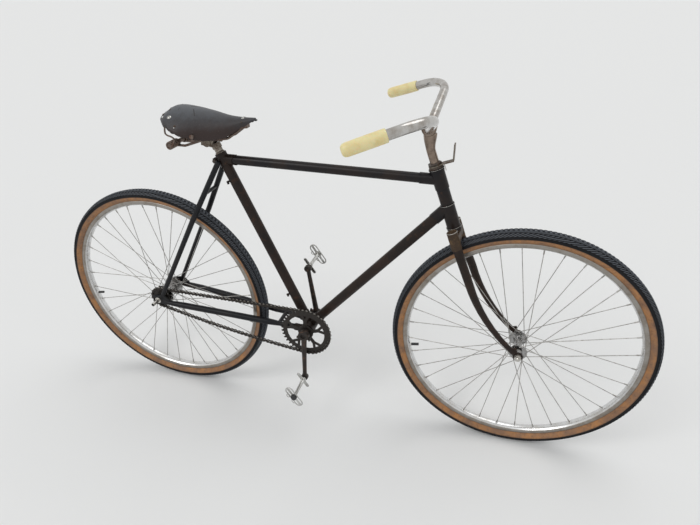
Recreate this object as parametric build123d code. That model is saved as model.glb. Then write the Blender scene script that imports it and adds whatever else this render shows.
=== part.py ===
"""A vintage bicycle with a lugged steel frame, swept bars, a sprung saddle and a coaster brake.

Millimetres. +X is forward, +Y is to the rider's left and +Z is up. The origin is the middle of the
saddle's top, where the rider sits. The steering points straight ahead and the right crank hangs down.
"""

from build123d import *
import os
from math import asin, atan2, cos, hypot, pi, radians, sin, sqrt

# Frame layout in the side plane, taken from the bottom bracket's centre
rear_axle_back = 494
front_axle_ahead = 613
axle_rise = 45
seat_angle = 66.7
seat_cluster_up = 560
seat_tube_above_cluster = 18
head_angle = 70.1
fork_rake = 75

# The rider's place on the saddle, taken from the seat cluster
saddle_behind_cluster = 43.5
saddle_above_cluster = 133.2

# Wheels
wheel_radius = 353
tyre_width = 42
tyre_height = 32.5
rim_depth = 17
rim_width = 27
spokes = 36
spoke_d = 2
nipple_d = 3.6
nipple_length = 14
spoke_cross_angle = 60
spoke_phase = 6
spoke_seat = 3
valve_angle = -169

# The steering's stack, each step up from the one before, and the fork's room over the tyre
crown_gap = 11.8
crown_height = 18
lower_stack = 15
lower_lug_up = 53
lug_spacing = 75
upper_lug_down = 23
upper_stack = 7
stack_gap = 0.5
adjuster_height = 6
lamp_strip = 3
locknut_height = 6

# Frame tubes, outside diameters
top_tube_d = 25.4
down_tube_d = 28.6
seat_tube_d = 28.6
seat_tube_bore = 26
head_tube_d = 32
head_tube_bore = 29
bracket_shell_d = 42
bracket_shell_width = 68
chainstay_d = 20
chainstay_root_d = 19
chainstay_crimp_d = 14.5
chainstay_end_d = 14.5
seat_stay_d = 15.5
seat_stay_end_d = 14
lug_wall = 1.6
lug_notch = 0.55

# Widths across the wheels
rear_hub_width = 112
front_hub_width = 96
fork_end_thickness = 5
axle_d = 9.5
axle_nut_d = 17
axle_nut_length = 9
axle_stub = 5
sleeve_d = 11
sleeve_length = 30
washer_d = 20
washer_thickness = 2.5

# Drive train
chain_pitch = 12.7
ring_teeth = 38
cog_teeth = 16
chain_line = 43
tooth_thickness = 2.8
chain_plate_inside = 2.1
chain_plate_outside = 4.3
chain_plate_height = 8.8
chain_waist_height = 6.6
roller_d = 7.75
chain_sag = 9
crank_length = 165
crank_plane = 59
crank_angle_right = -92.5
crank_angle_left = 97

# Bars, grips and stem, in the steering axis's own frame
bar_d = 22.2
bar_clamp_d = 25.4
stem_height = 106.6
bar_clamp_ahead = 12.2
bar_corner_ahead = 65
bar_corner_rise = 63.1
bar_corner_half = 238.4
bar_end_back = 115.2
bar_end_rise = 3.4
bar_end_half = 292.2
bar_corner_radius = 82.7
bar_yaw = 3.9
grip_length = 92
grip_cap = 7
grip_d = 28.5

# Gaps: a running or sliding fit, and the larger one that a cut keeps round a shaft
fit = 0.05
shaft_fit = 0.02

rim_outer_radius = wheel_radius - tyre_height
rim_inner_radius = rim_outer_radius - rim_depth
crown_bottom_up = sqrt((wheel_radius + crown_gap) ** 2 - fork_rake ** 2)
head_bottom = crown_bottom_up + crown_height + lower_stack
down_tube_up = head_bottom + lower_lug_up
top_tube_up = down_tube_up + lug_spacing
head_top = top_tube_up + upper_lug_down
head_tube_length = head_top - head_bottom
adjuster_up = head_top + upper_stack + stack_gap
strip_up = adjuster_up + adjuster_height
locknut_up = strip_up + lamp_strip
stack_top = locknut_up + locknut_height
bar_clamp_up = head_top + stem_height
bar_corner_up = bar_clamp_up + bar_corner_rise
bar_end_up = bar_corner_up + bar_end_rise

seat_slope = radians(seat_angle)
head_slope = radians(head_angle)
saddle_back = seat_cluster_up * cos(seat_slope) + saddle_behind_cluster
saddle_height = seat_cluster_up * sin(seat_slope) + saddle_above_cluster


def place(x, y, z):
    """A point given from the bottom bracket's centre, in the part's own frame."""
    return Vector(x + saddle_back, y, z - saddle_height)


axis_up = Vector(-cos(head_slope), 0, sin(head_slope))
axis_ahead = Vector(sin(head_slope), 0, cos(head_slope))
front_axle = place(front_axle_ahead, 0, axle_rise)
rear_axle = place(-rear_axle_back, 0, axle_rise)
bracket = place(0, 0, 0)
steer_foot = front_axle - axis_ahead * fork_rake
steer = Location(Plane(origin=steer_foot, x_dir=axis_ahead, z_dir=axis_up))
up_seat = Vector(-cos(seat_slope), 0, sin(seat_slope))
back = Vector(-sin(seat_slope), 0, -cos(seat_slope))
cluster = bracket + up_seat * seat_cluster_up
top_joint = steer_foot + axis_up * top_tube_up
down_joint = steer_foot + axis_up * down_tube_up
top_way = (top_joint - cluster).normalized()
down_way = (down_joint - bracket).normalized()
bar_turn = Location((0, 0, 0), (0, 0, bar_yaw))
across = Location((0, 0, 0), (90, 0, 0))
up_align = (Align.CENTER, Align.CENTER, Align.MIN)


def rod(a, b, d, end_d=None):
    """A round bar or taper between two points."""
    a = Vector(a)
    b = Vector(b)
    length = (b - a).length
    if end_d is None or abs(end_d - d) < 1e-6:
        body = Cylinder(d / 2, length, align=up_align)
    else:
        body = Cone(d / 2, end_d / 2, length, align=up_align)
    return Location(Plane(origin=a, z_dir=b - a)) * body


def ball(centre, d):
    """A ball, which rounds a joint between two rods."""
    return Location(Vector(centre)) * Sphere(d / 2)


def wire(points, radius, d):
    """A round wire through points, its corners turned on arcs."""
    path = FilletPolyline(*[Vector(p) for p in points], radius=radius)
    start = Plane(origin=path @ 0, z_dir=path % 0)
    return sweep(start * Circle(d / 2), path=path)


def disc(y, r, thickness, bore=0):
    """A flat disc square to Y, centred on the plane y."""
    body = Cylinder(r, thickness)
    if bore:
        body -= Cylinder(bore, thickness)
    return Location((0, y, 0), (90, 0, 0)) * body


def turned(outline):
    """A solid turned about the Y axis from points of (y, radius)."""
    profile = Face(Wire.make_polygon([Vector(r, y, 0) for y, r in outline], close=True))
    return revolve(profile, Axis.Y, 360)


def column(base, height, d):
    """An upright round bar in the steering axis's frame."""
    return Pos(0, 0, base) * Cylinder(d / 2, height, align=up_align)


def joined(shapes):
    """The shapes as one solid where they meet."""
    shapes = list(shapes)
    body = shapes[0]
    for shape in shapes[1:]:
        body = body + shape
    return body


def socket(start, way, length, d):
    """A lug's sleeve round a tube, its far end hollowed from side to side into two points."""
    end = start + way * length
    notch_r = d * lug_notch
    notch = Location(end + way * notch_r * 0.35, (90, 0, 0)) * Cylinder(notch_r, d * 2)
    return rod(start, end, d + 2 * lug_wall) - notch


os.makedirs("parts", exist_ok=True)
made = {}


def save(name, shape):
    """Writes one node's file, from one shape or a list of them."""
    shapes = shape if isinstance(shape, list) else [shape]
    solids = [solid for each in shapes for solid in each.solids()]
    result = solids[0] if len(solids) == 1 else Compound(solids)
    made[name] = result
    export_step(result, f"parts/{name}.step")


# Head tube with its two lugs and the fixed cups of the headset
cup_d = 37
cup_lip_d = 39
race_height = 6
lip_height = 2
lug_collar_d = head_tube_d + 2 * lug_wall
lug_ring_d = lug_collar_d + 1.6
lug_collar_over = 9
lug_length = 34
head_body = column(head_bottom, head_tube_length, head_tube_d)
head_body += column(head_bottom - lower_stack + race_height, lower_stack - race_height, cup_d)
head_body += column(head_bottom - lip_height, lip_height, cup_lip_d)
head_body += column(head_top, upper_stack, cup_d)
head_body += column(head_top + upper_stack - lip_height, lip_height, cup_lip_d)
head_body += column(head_bottom, lower_lug_up + lug_collar_over, lug_collar_d)
head_body += column(down_tube_up + lug_collar_over - lip_height, lip_height, lug_ring_d)
head_body += column(top_tube_up - upper_lug_down, 2 * upper_lug_down, lug_collar_d)
head_body = steer * head_body
lug_reach = head_tube_d / 2 + 6
head_joints = ((top_joint, -top_way, top_tube_d), (down_joint, -down_way, down_tube_d))
for joint, way, tube_d in head_joints:
    head_body += socket(joint, way, head_tube_d / 2 + lug_length, tube_d)
for joint, way, tube_d in head_joints:
    head_body -= rod(joint + way * lug_reach, joint + way * (lug_reach + 2 * lug_length), tube_d)
bore_length = head_tube_length + lower_stack + 2 * upper_stack
head_body -= steer * column(head_bottom - lower_stack, bore_length, head_tube_bore)
save("head_tube", head_body)

# Bottom bracket shell with sockets for the tubes, and its two cups
shell_wall = 4
cup_bore = 17
cup_step = 3
cup_thickness = 4
lug_out = 30
socket_start = bracket_shell_d / 2 + 4
shell = disc(0, bracket_shell_d / 2, bracket_shell_width)
cup_y = (bracket_shell_width + cup_thickness) / 2
for side in (-1, 1):
    shell += disc(side * cup_y, bracket_shell_d / 2 - cup_step, cup_thickness)
shell = Location(bracket) * shell
shell_tubes = ((up_seat, seat_tube_d), (down_way, down_tube_d))
for way, tube_d in shell_tubes:
    shell += socket(bracket, way, bracket_shell_d / 2 + lug_out, tube_d)
for way, tube_d in shell_tubes:
    shell -= rod(bracket + way * socket_start, bracket + way * (socket_start + 2 * lug_out), tube_d)

# Chainstays, from the shell back to the fork ends, crimped beside the chainring
stay_root = (-18, 26, 1)
stay_middle = (-0.506 * rear_axle_back, 44, 0.5 * axle_rise)
stay_end = (-rear_axle_back + 26, axle_rise - 6)
crimp_share = 0.3
crimp_end_share = 0.47
stay_taper = 62
stay_socket_length = 22
end_inner_y = rear_hub_width / 2
end_mid_y = end_inner_y + fork_end_thickness / 2
sides = {"left": 1, "right": -1}
chainstays = {}
for name, side in sides.items():
    root = place(stay_root[0], side * stay_root[1], stay_root[2])
    middle = place(stay_middle[0], side * stay_middle[1], stay_middle[2])
    end = place(stay_end[0], side * end_mid_y, stay_end[1])
    crimp = root + (middle - root) * crimp_share
    crimp_end = root + (middle - root) * crimp_end_share
    taper_start = end + (middle - end).normalized() * stay_taper
    stay = rod(root, crimp, chainstay_root_d, chainstay_crimp_d)
    stay += rod(crimp, crimp_end, chainstay_crimp_d, chainstay_d)
    stay += rod(crimp_end, middle, chainstay_d)
    stay += ball(middle, chainstay_d)
    stay += rod(middle, taper_start, chainstay_d)
    stay += rod(taper_start, end, chainstay_d, chainstay_end_d)
    chainstays[name] = stay
    socket_end = root + (middle - root).normalized() * stay_socket_length
    shell += rod(root, socket_end, chainstay_root_d + 2 * lug_wall)
for stay in chainstays.values():
    shell -= stay
through_shell = bracket_shell_width + 20
shell -= Location(bracket) * disc(0, bracket_shell_d / 2 - shell_wall, bracket_shell_width)
shell -= Location(bracket) * disc(0, cup_bore / 2, through_shell)
save("bottom_bracket_shell", shell)
hollow = Location(bracket) * disc(0, bracket_shell_d / 2, through_shell)
for name, stay in chainstays.items():
    save("chainstay_" + name, stay - hollow)

# Seat tube with the seat lug, and pegs for a pump on its back
seat_top = cluster + up_seat * seat_tube_above_cluster
seat_start = bracket + up_seat * socket_start
seat_lug_down = 26
seat_ears_y = 9
ears_back = 17
ears_up = 4
ear_length = 18
ear_height = 16
seat_tube = rod(seat_start, seat_top, seat_tube_d)
seat_lug = socket(seat_top, -up_seat, seat_tube_above_cluster + seat_lug_down, seat_tube_d)
seat_lug += socket(cluster, top_way, seat_tube_d / 2 + seat_lug_down, top_tube_d)
ear_spot = Location(Plane(origin=cluster + up_seat * ears_up + back * ears_back, x_dir=back, z_dir=up_seat))
seat_lug += ear_spot * Box(ear_length, seat_ears_y * 2, ear_height)
seat_tube += seat_lug
top_start = cluster + top_way * (seat_tube_d / 2 + 10)
seat_tube -= rod(top_start, top_start + top_way * 4 * seat_lug_down, top_tube_d)
post_depth = 60
seat_bore_depth = post_depth + 80
seat_tube -= rod(cluster - up_seat * seat_bore_depth, seat_top + up_seat * seat_tube_d, seat_tube_bore)
peg_d = 6
peg_length = 11
peg_hook = 7
for up in (seat_cluster_up - 62, 118):
    peg_root = bracket + up_seat * up + back * (seat_tube_d / 2 - 1)
    peg_tip = peg_root + back * peg_length
    seat_tube += rod(peg_root, peg_tip, peg_d)
    seat_tube += ball(peg_tip, peg_d)
    seat_tube += rod(peg_tip, peg_tip - up_seat * peg_hook, peg_d)
bolt_hole_d = 8
bolt_head_d = 12
bolt_head_length = 7
bolt_centre = cluster + up_seat * ears_up + back * (ears_back + 4)
side_way = Vector(0, 1, 0)
seat_tube -= rod(bolt_centre - side_way * seat_tube_d, bolt_centre + side_way * seat_tube_d, bolt_hole_d)
save("seat_tube", seat_tube)

# Top tube and down tube, into their sockets
save("top_tube", rod(top_start, top_joint - top_way * lug_reach, top_tube_d))
save("down_tube", rod(bracket + down_way * socket_start, down_joint - down_way * lug_reach, down_tube_d))

# Seat bolt through the ears of the seat lug
bolt = rod(bolt_centre - side_way * seat_ears_y, bolt_centre + side_way * seat_ears_y, bolt_hole_d - 2 * fit)
for side in (-1, 1):
    head_start = bolt_centre + side_way * side * seat_ears_y
    bolt += rod(head_start, head_start + side_way * side * bolt_head_length, bolt_head_d)
save("seat_bolt", bolt)

# Rear fork ends, which open to the rear, and the seat stays down to them
slot_width = axle_d + 0.3
plate_points = [(34, -14), (40, 2), (20, 22), (-6, 16), (-20, 13), (-20, -12), (-4, -14)]
fork_ends = {}
for name, side in sides.items():
    plate = Plane.XZ * make_face(Polyline(*plate_points, close=True))
    plate = extrude(plate, amount=fork_end_thickness / 2, both=True)
    slot = Pos(-20, 0, 0) * Box(40, fork_end_thickness * 3, slot_width)
    slot += across * Cylinder(slot_width / 2, fork_end_thickness * 3)
    fork_ends[name] = Location(rear_axle + Vector(0, side * end_mid_y, 0)) * (plate - slot)
stay_top_y = 22
stay_top_back = 9
stay_bend_y = 46
stay_bend_share = 0.383
seat_stay_end = (-rear_axle_back + 21, axle_rise + 23)
seat_stays = {}
stay_tops = {}
stay_bends = {}
for name, side in sides.items():
    top = cluster + back * stay_top_back - up_seat * ears_up + Vector(0, side * stay_top_y, 0)
    end = place(seat_stay_end[0], side * end_mid_y, seat_stay_end[1])
    bend = top + (end - top) * stay_bend_share
    bend = Vector(bend.X, side * stay_bend_y, bend.Z)
    stay = rod(top, bend, seat_stay_d) + ball(bend, seat_stay_d) + ball(top, seat_stay_d)
    stay += rod(bend, end, seat_stay_d, seat_stay_end_d)
    seat_stays[name] = stay
    stay_tops[name] = top
    stay_bends[name] = bend
save("rear_fork_ends", [fork_ends[name] - chainstays[name] - seat_stays[name] for name in sides])
for name, stay in seat_stays.items():
    save("seat_stay_" + name, stay - seat_lug)

# Bridges between the stays
seat_bridge_share = 0.53
chain_bridge_share = 0.32
seat_bridge_d = 10
chain_bridge_d = 12
seat_bridge_ends = []
chain_bridge_ends = []
for name, side in sides.items():
    seat_bridge_ends.append(stay_tops[name] + (stay_bends[name] - stay_tops[name]) * seat_bridge_share)
    root = place(stay_root[0], side * stay_root[1], stay_root[2])
    middle = place(stay_middle[0], side * stay_middle[1], stay_middle[2])
    chain_bridge_ends.append(root + (middle - root) * chain_bridge_share)
seat_bridge = rod(*seat_bridge_ends, seat_bridge_d) - seat_stays["left"] - seat_stays["right"]
chain_bridge = rod(*chain_bridge_ends, chain_bridge_d) - chainstays["left"] - chainstays["right"]
save("stay_bridges", [seat_bridge, chain_bridge])

# Seat post, its upper end reduced to enter the saddle's clamp
post_d = seat_tube_bore - 2 * fit
post_neck_d = 22
post_neck_taper = 3
post_above_cluster = 46
post_top = cluster + up_seat * post_above_cluster
neck_start = seat_top + up_seat * 2
neck_full = neck_start + up_seat * post_neck_taper
seat_post = rod(cluster - up_seat * post_depth, neck_start, post_d)
seat_post += rod(neck_start, neck_full, post_d, post_neck_d)
seat_post += rod(neck_full, post_top, post_neck_d)
save("seat_post", seat_post)

# The saddle's cover, in sections from the rear to the nose, given from the rider's place
saddle_table = (  # x, half width, top, lower edge, shoulder as a share of the height
    (-97, 49, -7.9, -22.6, 0.31),
    (-73, 73, 4.8, -34.6, 0.19),
    (-30, 81, 3.4, -53.5, 0.16),
    (25, 59, -4.0, -68.0, 0.24),
    (75, 41, -14.0, -64.3, 0.36),
    (115, 21, -16.9, -41.9, 0.5),
    (153, 5, -16.5, -22.5, 0.5),
)
leather = 5
hollow_nose_x = 137
hollow_nose = (7, -21.5)
hollow_drop = 20
rear_wall = 4


def saddle_section(x, half, top, low, share, inset):
    """One cross-section of the saddle: short upright skirts and an arched top."""
    w = half - inset
    shoulder = low + (top - low) * share
    base = low - (hollow_drop if inset else 0)
    flat = Polyline((-w, shoulder), (-w, base), (w, base), (w, shoulder))
    crown_arc = ThreePointArc((w, shoulder), (0, top - inset), (-w, shoulder))
    plane = Plane(origin=(x, 0, 0), x_dir=(0, 1, 0), z_dir=(1, 0, 0))
    return plane * make_face(flat + crown_arc)


outer_sections = [saddle_section(x, half, top, low, share, 0) for x, half, top, low, share in saddle_table]
inner_sections = []
for x, half, top, low, share in saddle_table[:-1]:
    inner_x = x + rear_wall if x == saddle_table[0][0] else x
    inner_sections.append(saddle_section(inner_x, half, top, low, share, leather))
nose_half, nose_top = hollow_nose
inner_sections.append(saddle_section(hollow_nose_x, nose_half, nose_top, saddle_table[-1][3], 0.5, 0.001))
outer_cover = loft(outer_sections)
inner_cover = loft(inner_sections)

# Frame of the saddle: cantle plate, nose block, rails, the springs' cross rod and the skirts' bolt
rail_d = 7
rail_y = 20
spring_x = -81
spring_drop = 90
spring_z = -spring_drop
spring_bore_r = 6
spring_root_r = 8.5
spring_r = 11
coil_start_y = 13
coil_end_y = 57
coil_ridges = 8
cantle_x = -78
cantle_z = -19
cantle_length = 30
cantle_thickness = 3
nose_block_x = 121
nose_block_z = -31
nose_block_length = 18
nose_block_height = 24
rail_top_z = -39.5
rail_mid = (77, -69.5)
rail_low = (-7, -81.5)
skirt_bolt = (5, -55)
skirt_bolt_d = 6
skirt_bolt_head_d = 11
skirt_bolt_head = 4
skirt_bolt_half = 72.5
rail_end_z = spring_z - spring_r + rail_d / 2
cantle_bar = Box(cantle_length, 200, cantle_thickness)
cantle = (Location((cantle_x, 0, cantle_z)) * cantle_bar) & inner_cover
nose_bar = Box(nose_block_length, 60, nose_block_height)
nose_block = (Location((nose_block_x, 0, nose_block_z)) * nose_bar) & inner_cover
rails = []
for side in (-1, 1):
    rails.append(wire([(nose_block_x, side * 5, rail_top_z), (rail_mid[0], side * rail_y, rail_mid[1]),
                       (rail_low[0], side * rail_y, rail_low[1]), (spring_x + 26, side * rail_y, rail_end_z),
                       (spring_x, side * rail_y, rail_end_z)], 14, rail_d))
cross_rod = Location((spring_x, 0, spring_z)) * disc(0, spring_bore_r, 2 * (coil_end_y - 4))
rail_frame = joined([nose_block, cross_rod] + rails)
bolt_spot = Location((skirt_bolt[0], 0, skirt_bolt[1]))
skirt_rod = bolt_spot * disc(0, skirt_bolt_d / 2, 2 * skirt_bolt_half)
for side in (-1, 1):
    head_y = side * (skirt_bolt_half + skirt_bolt_head / 2)
    skirt_rod += bolt_spot * disc(head_y, skirt_bolt_head_d / 2, skirt_bolt_head)
save("saddle_cover", outer_cover - inner_cover - skirt_rod)
save("saddle_frame", [rail_frame, cantle, skirt_rod])

# Springs: a ridged coil on each half of the cross rod, and the wire from its end up to the cantle
spring_wire_d = 5
spring_wire_y = 50
spring_top_y = 44
coil_ridge = (coil_end_y - coil_start_y) / coil_ridges
coil_outline = [(coil_start_y, spring_bore_r), (coil_start_y, spring_root_r)]
for k in range(coil_ridges):
    ridge_y = coil_start_y + k * coil_ridge
    coil_outline.append((ridge_y + coil_ridge * 0.3, spring_r))
    coil_outline.append((ridge_y + coil_ridge * 0.7, spring_r))
    coil_outline.append((ridge_y + coil_ridge, spring_root_r))
coil_outline.append((coil_end_y, spring_bore_r))
cantle_foot = cantle_z - cantle_thickness / 2
springs = []
for side in (-1, 1):
    coil = Location((spring_x, 0, spring_z)) * turned([(side * y, r) for y, r in coil_outline])
    arm = wire([(spring_x + spring_root_r, side * (coil_end_y - 4), spring_z),
                (spring_x + 18, side * spring_wire_y, spring_z + 20.5),
                (spring_x - 9, side * spring_wire_y, spring_z + 26.5),
                (spring_x - 5, side * spring_top_y, cantle_foot)], 4, spring_wire_d)
    core = Location((spring_x, 0, spring_z)) * disc(0, spring_bore_r, 200)
    springs.append((coil + arm) - core - rail_frame - cantle)
save("saddle_springs", springs)

# Clamp that holds the rails on the post: a barrel across, side plates and a sleeve down the post
clamp_back = 8.3
clamp_rise = 9.4
clamp_half = 31
clamp_d = 24
clamp_plate = (32, 7, 20)
clamp_lean = 8
clamp_sleeve_d = 26.5
clamp_sleeve_length = 14
clamp_centre = post_top + Vector(-clamp_back, 0, clamp_rise)
clamp_spot = Location(clamp_centre)
clamp_core = clamp_spot * disc(0, clamp_d / 2, 2 * clamp_half)
for side in (-1, 1):
    plate_y = side * (rail_y + rail_d / 2 + clamp_plate[1] / 2 - 1)
    clamp_core += clamp_spot * Location((0, plate_y, 0), (0, clamp_lean, 0)) * Box(*clamp_plate)
clamp_core += rod(post_top - up_seat * clamp_sleeve_length, post_top, clamp_sleeve_d)
clamp_core -= rod(post_top - up_seat * 2 * clamp_sleeve_length, post_top, post_neck_d)
save("saddle_clamp", clamp_core - rail_frame)

# Rear wheel's axle with its left nut, the sleeve nut on its right end and the brake arm on its left
nut_start = end_inner_y + fork_end_thickness
nut_end = nut_start + axle_nut_length
cone_d = 20
cone_thickness = 6.4
lock_d = 16
lock_thickness = 5
axle_left = nut_end + axle_stub
axle_length = axle_left + nut_end
rear_axle_body = disc((axle_left - nut_end) / 2, axle_d / 2, axle_length)
rear_axle_body += disc(nut_start + axle_nut_length / 2, axle_nut_d / 2, axle_nut_length)
rear_axle_body += disc(end_inner_y - cone_thickness / 2, cone_d / 2, cone_thickness)
rear_axle_body += disc(-(end_inner_y - lock_thickness / 2), lock_d / 2, lock_thickness)
save("rear_axle", Location(rear_axle) * rear_axle_body)
sleeve = disc(-(nut_start + sleeve_length / 2), sleeve_d / 2, sleeve_length)
sleeve += disc(-(nut_start + washer_thickness / 2), washer_d / 2, washer_thickness)
sleeve -= disc(-(nut_start + sleeve_length / 2), axle_d / 2 + shaft_fit, 2 * sleeve_length)
save("axle_sleeve", Location(rear_axle) * sleeve)
arm_y = end_inner_y - 8
arm_disc_d = 34
arm_thickness = 3
arm_cup_d = 26
arm_cup_thickness = 5
arm_width = 11
arm_length = 112
arm_middle = 60
arm_drop = 8
arm_lean = 7
arm_body = disc(0, arm_disc_d / 2, arm_thickness)
arm_body += disc(-(arm_thickness + arm_cup_thickness) / 2, arm_cup_d / 2, arm_cup_thickness)
arm_body += Location((arm_middle, 0, -arm_drop), (0, arm_lean, 0)) * Box(arm_length, arm_thickness, arm_width)
arm_body -= disc(0, axle_d / 2 + shaft_fit, 6 * arm_cup_thickness)
save("brake_arm", Location(rear_axle + Vector(0, arm_y, 0)) * arm_body - chainstays["left"])

# Chainring, sprocket and the chain, one slack loop on both
ring_pitch_r = chain_pitch / (2 * sin(pi / ring_teeth))
cog_pitch_r = chain_pitch / (2 * sin(pi / cog_teeth))
root_clearance = 0.3
tooth_rise = 2.6


def toothed(teeth, pitch_r, phase=0.0):
    """A flat toothed outline, with straight-sided teeth between the rollers."""
    root_r = pitch_r - roller_d / 2 - root_clearance
    tip_r = pitch_r + tooth_rise
    points = []
    for k in range(teeth):
        centre = 2 * pi * (k + 0.5) / teeth + phase
        for turn, r in ((-0.30, root_r), (-0.12, tip_r), (0.12, tip_r), (0.30, root_r)):
            a = centre + turn * 2 * pi / teeth
            points.append((r * cos(a), r * sin(a)))
    return make_face(Polyline(*points, close=True))


# The chain's centre line: over the top, round the sprocket, the hanging run and round the chainring
centres = hypot(rear_axle_back, axle_rise)
lean_back = atan2(axle_rise, -rear_axle_back)
top_normal = lean_back - pi / 2 + asin((ring_pitch_r - cog_pitch_r) / centres)
ring_at = (0, 0)
cog_at = (-rear_axle_back, axle_rise)
hang_r = centres ** 2 / (8 * chain_sag)
to_ring = hang_r - ring_pitch_r
to_cog = hang_r - cog_pitch_r
along = (to_ring ** 2 - to_cog ** 2 + centres ** 2) / (2 * centres)
height = sqrt(to_ring ** 2 - along ** 2)
hang_at = (along * cos(lean_back) + height * sin(lean_back), along * sin(lean_back) - height * cos(lean_back))
ring_low = atan2(ring_at[1] - hang_at[1], ring_at[0] - hang_at[0])
cog_low = atan2(cog_at[1] - hang_at[1], cog_at[0] - hang_at[0])
top_length = (ring_at[0] - cog_at[0]) * sin(top_normal) + (cog_at[1] - ring_at[1]) * cos(top_normal)
cog_length = cog_pitch_r * (cog_low + 2 * pi - top_normal)
hang_length = hang_r * (ring_low - cog_low)
ring_length = ring_pitch_r * (top_normal - ring_low)
loop_length = top_length + cog_length + hang_length + ring_length
links = 2 * round(loop_length / chain_pitch / 2)
link_step = loop_length / links
first_pin = loop_length - ring_pitch_r * top_normal


def chain_point(s, offset):
    """A point s along the loop from the chainring's top, the offset outside its centre line."""
    s = s % loop_length
    if s < top_length:
        r = ring_pitch_r + offset
        return (r * cos(top_normal) - s * sin(top_normal), r * sin(top_normal) + s * cos(top_normal))
    s -= top_length
    if s < cog_length:
        a = top_normal + s / cog_pitch_r
        r = cog_pitch_r + offset
        return (cog_at[0] + r * cos(a), cog_at[1] + r * sin(a))
    s -= cog_length
    if s < hang_length:
        a = cog_low + s / hang_r
        r = hang_r + offset
        return (hang_at[0] + r * cos(a), hang_at[1] + r * sin(a))
    s -= hang_length
    a = ring_low + s / ring_pitch_r
    r = ring_pitch_r + offset
    return (r * cos(a), r * sin(a))


def linked_outline(sign):
    """The loop's outer (1) or inner (-1) edge, full at each pin and waisted between pins."""
    points = []
    for k in range(links):
        s = first_pin + k * link_step
        points.append(chain_point(s, sign * chain_plate_height / 2))
        points.append(chain_point(s + link_step / 2, sign * chain_waist_height / 2))
    return make_face(Polyline(*points, close=True))


def plain_outline(offset):
    """The loop's edge at one offset, in steps on its three bends and straight over the top."""
    points = [chain_point(0, offset)]
    start = top_length
    for length, steps in ((cog_length, 8), (hang_length, 12), (ring_length, 20)):
        points += [chain_point(start + length * k / steps, offset) for k in range(steps)]
        start += length
    return make_face(Polyline(*points, close=True))


ring_y = -chain_line
band_half = (chain_plate_outside - chain_plate_inside) / 2
band_y = chain_plate_inside + band_half
linked_band = linked_outline(1) - linked_outline(-1)
plain_band = plain_outline(chain_waist_height / 2) - plain_outline(-chain_waist_height / 2)
linked_plates = extrude(Plane.XZ * linked_band, amount=band_half, both=True)
plain_plates = extrude(Plane.XZ * plain_band, amount=band_half, both=True)
chain = Location((0, ring_y - band_y, 0)) * linked_plates + Location((0, ring_y + band_y, 0)) * plain_plates
pin_size = 4.2
pin_length = 2 * chain_plate_inside + 0.6
free_end = 40
pins = []
for k in range(0, links, 2):
    s = (first_pin + k * link_step) % loop_length
    on_top = free_end < s < top_length - free_end
    on_hang = top_length + cog_length + free_end < s < loop_length - ring_length - free_end
    if on_top or on_hang:
        x, z = chain_point(s, 0)
        pins.append(Location((x, ring_y, z)) * Box(pin_size, pin_length, pin_size))
chain = chain + pins
save("chain", Location(bracket) * chain)

# Chainring with five forked arms, and the sprocket, its teeth between the chain's pins
ring_arm_count = 5
ring_rim_inner = 60
ring_hub_r = 24
arm_root = 18
arm_split = 44
arm_bar = 11
tine_width = 8
tine_length = 30
tine_lean = 30
ring = extrude(Plane.XZ * toothed(ring_teeth, ring_pitch_r), amount=tooth_thickness / 2, both=True)
ring -= across * Cylinder(ring_rim_inner, 20)
for k in range(ring_arm_count):
    turn = Location((0, 0, 0), (0, 360 / ring_arm_count * k, 0))
    ring += turn * Pos(0, 0, (arm_root + arm_split) / 2) * Box(arm_bar, tooth_thickness, arm_split - arm_root)
    for lean in (-tine_lean, tine_lean):
        tine = Pos(0, 0, tine_length / 2 - 2) * Box(tine_width, tooth_thickness, tine_length)
        ring += turn * Location((0, 0, arm_split - 4), (0, lean, 0)) * tine
ring += across * Cylinder(ring_hub_r, tooth_thickness)
crank_axle_d = 16
ring -= across * Cylinder(crank_axle_d / 2 + shaft_fit, 20)
save("chainring", Location(bracket + Vector(0, ring_y, 0)) * ring)
cog_hub_r = 22
cog_hub_width = 4.4
driver_r = 14
driver_length = 8
driver_gap = 1
cog_middle = top_length + cog_length / 2
nearest = round((cog_middle - first_pin) / link_step)
cog_phase = (first_pin + nearest * link_step - top_length) / cog_pitch_r + top_normal
cog = extrude(Plane.XZ * toothed(cog_teeth, cog_pitch_r, cog_phase), amount=tooth_thickness / 2, both=True)
cog += across * Cylinder(cog_hub_r, cog_hub_width)
cog += Location((0, -driver_length / 2, 0)) * across * Cylinder(driver_r, driver_length)
cog -= across * Cylinder(axle_d / 2 + driver_gap, 20)
save("rear_sprocket", Location(rear_axle + Vector(0, ring_y, 0)) * cog)

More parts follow.
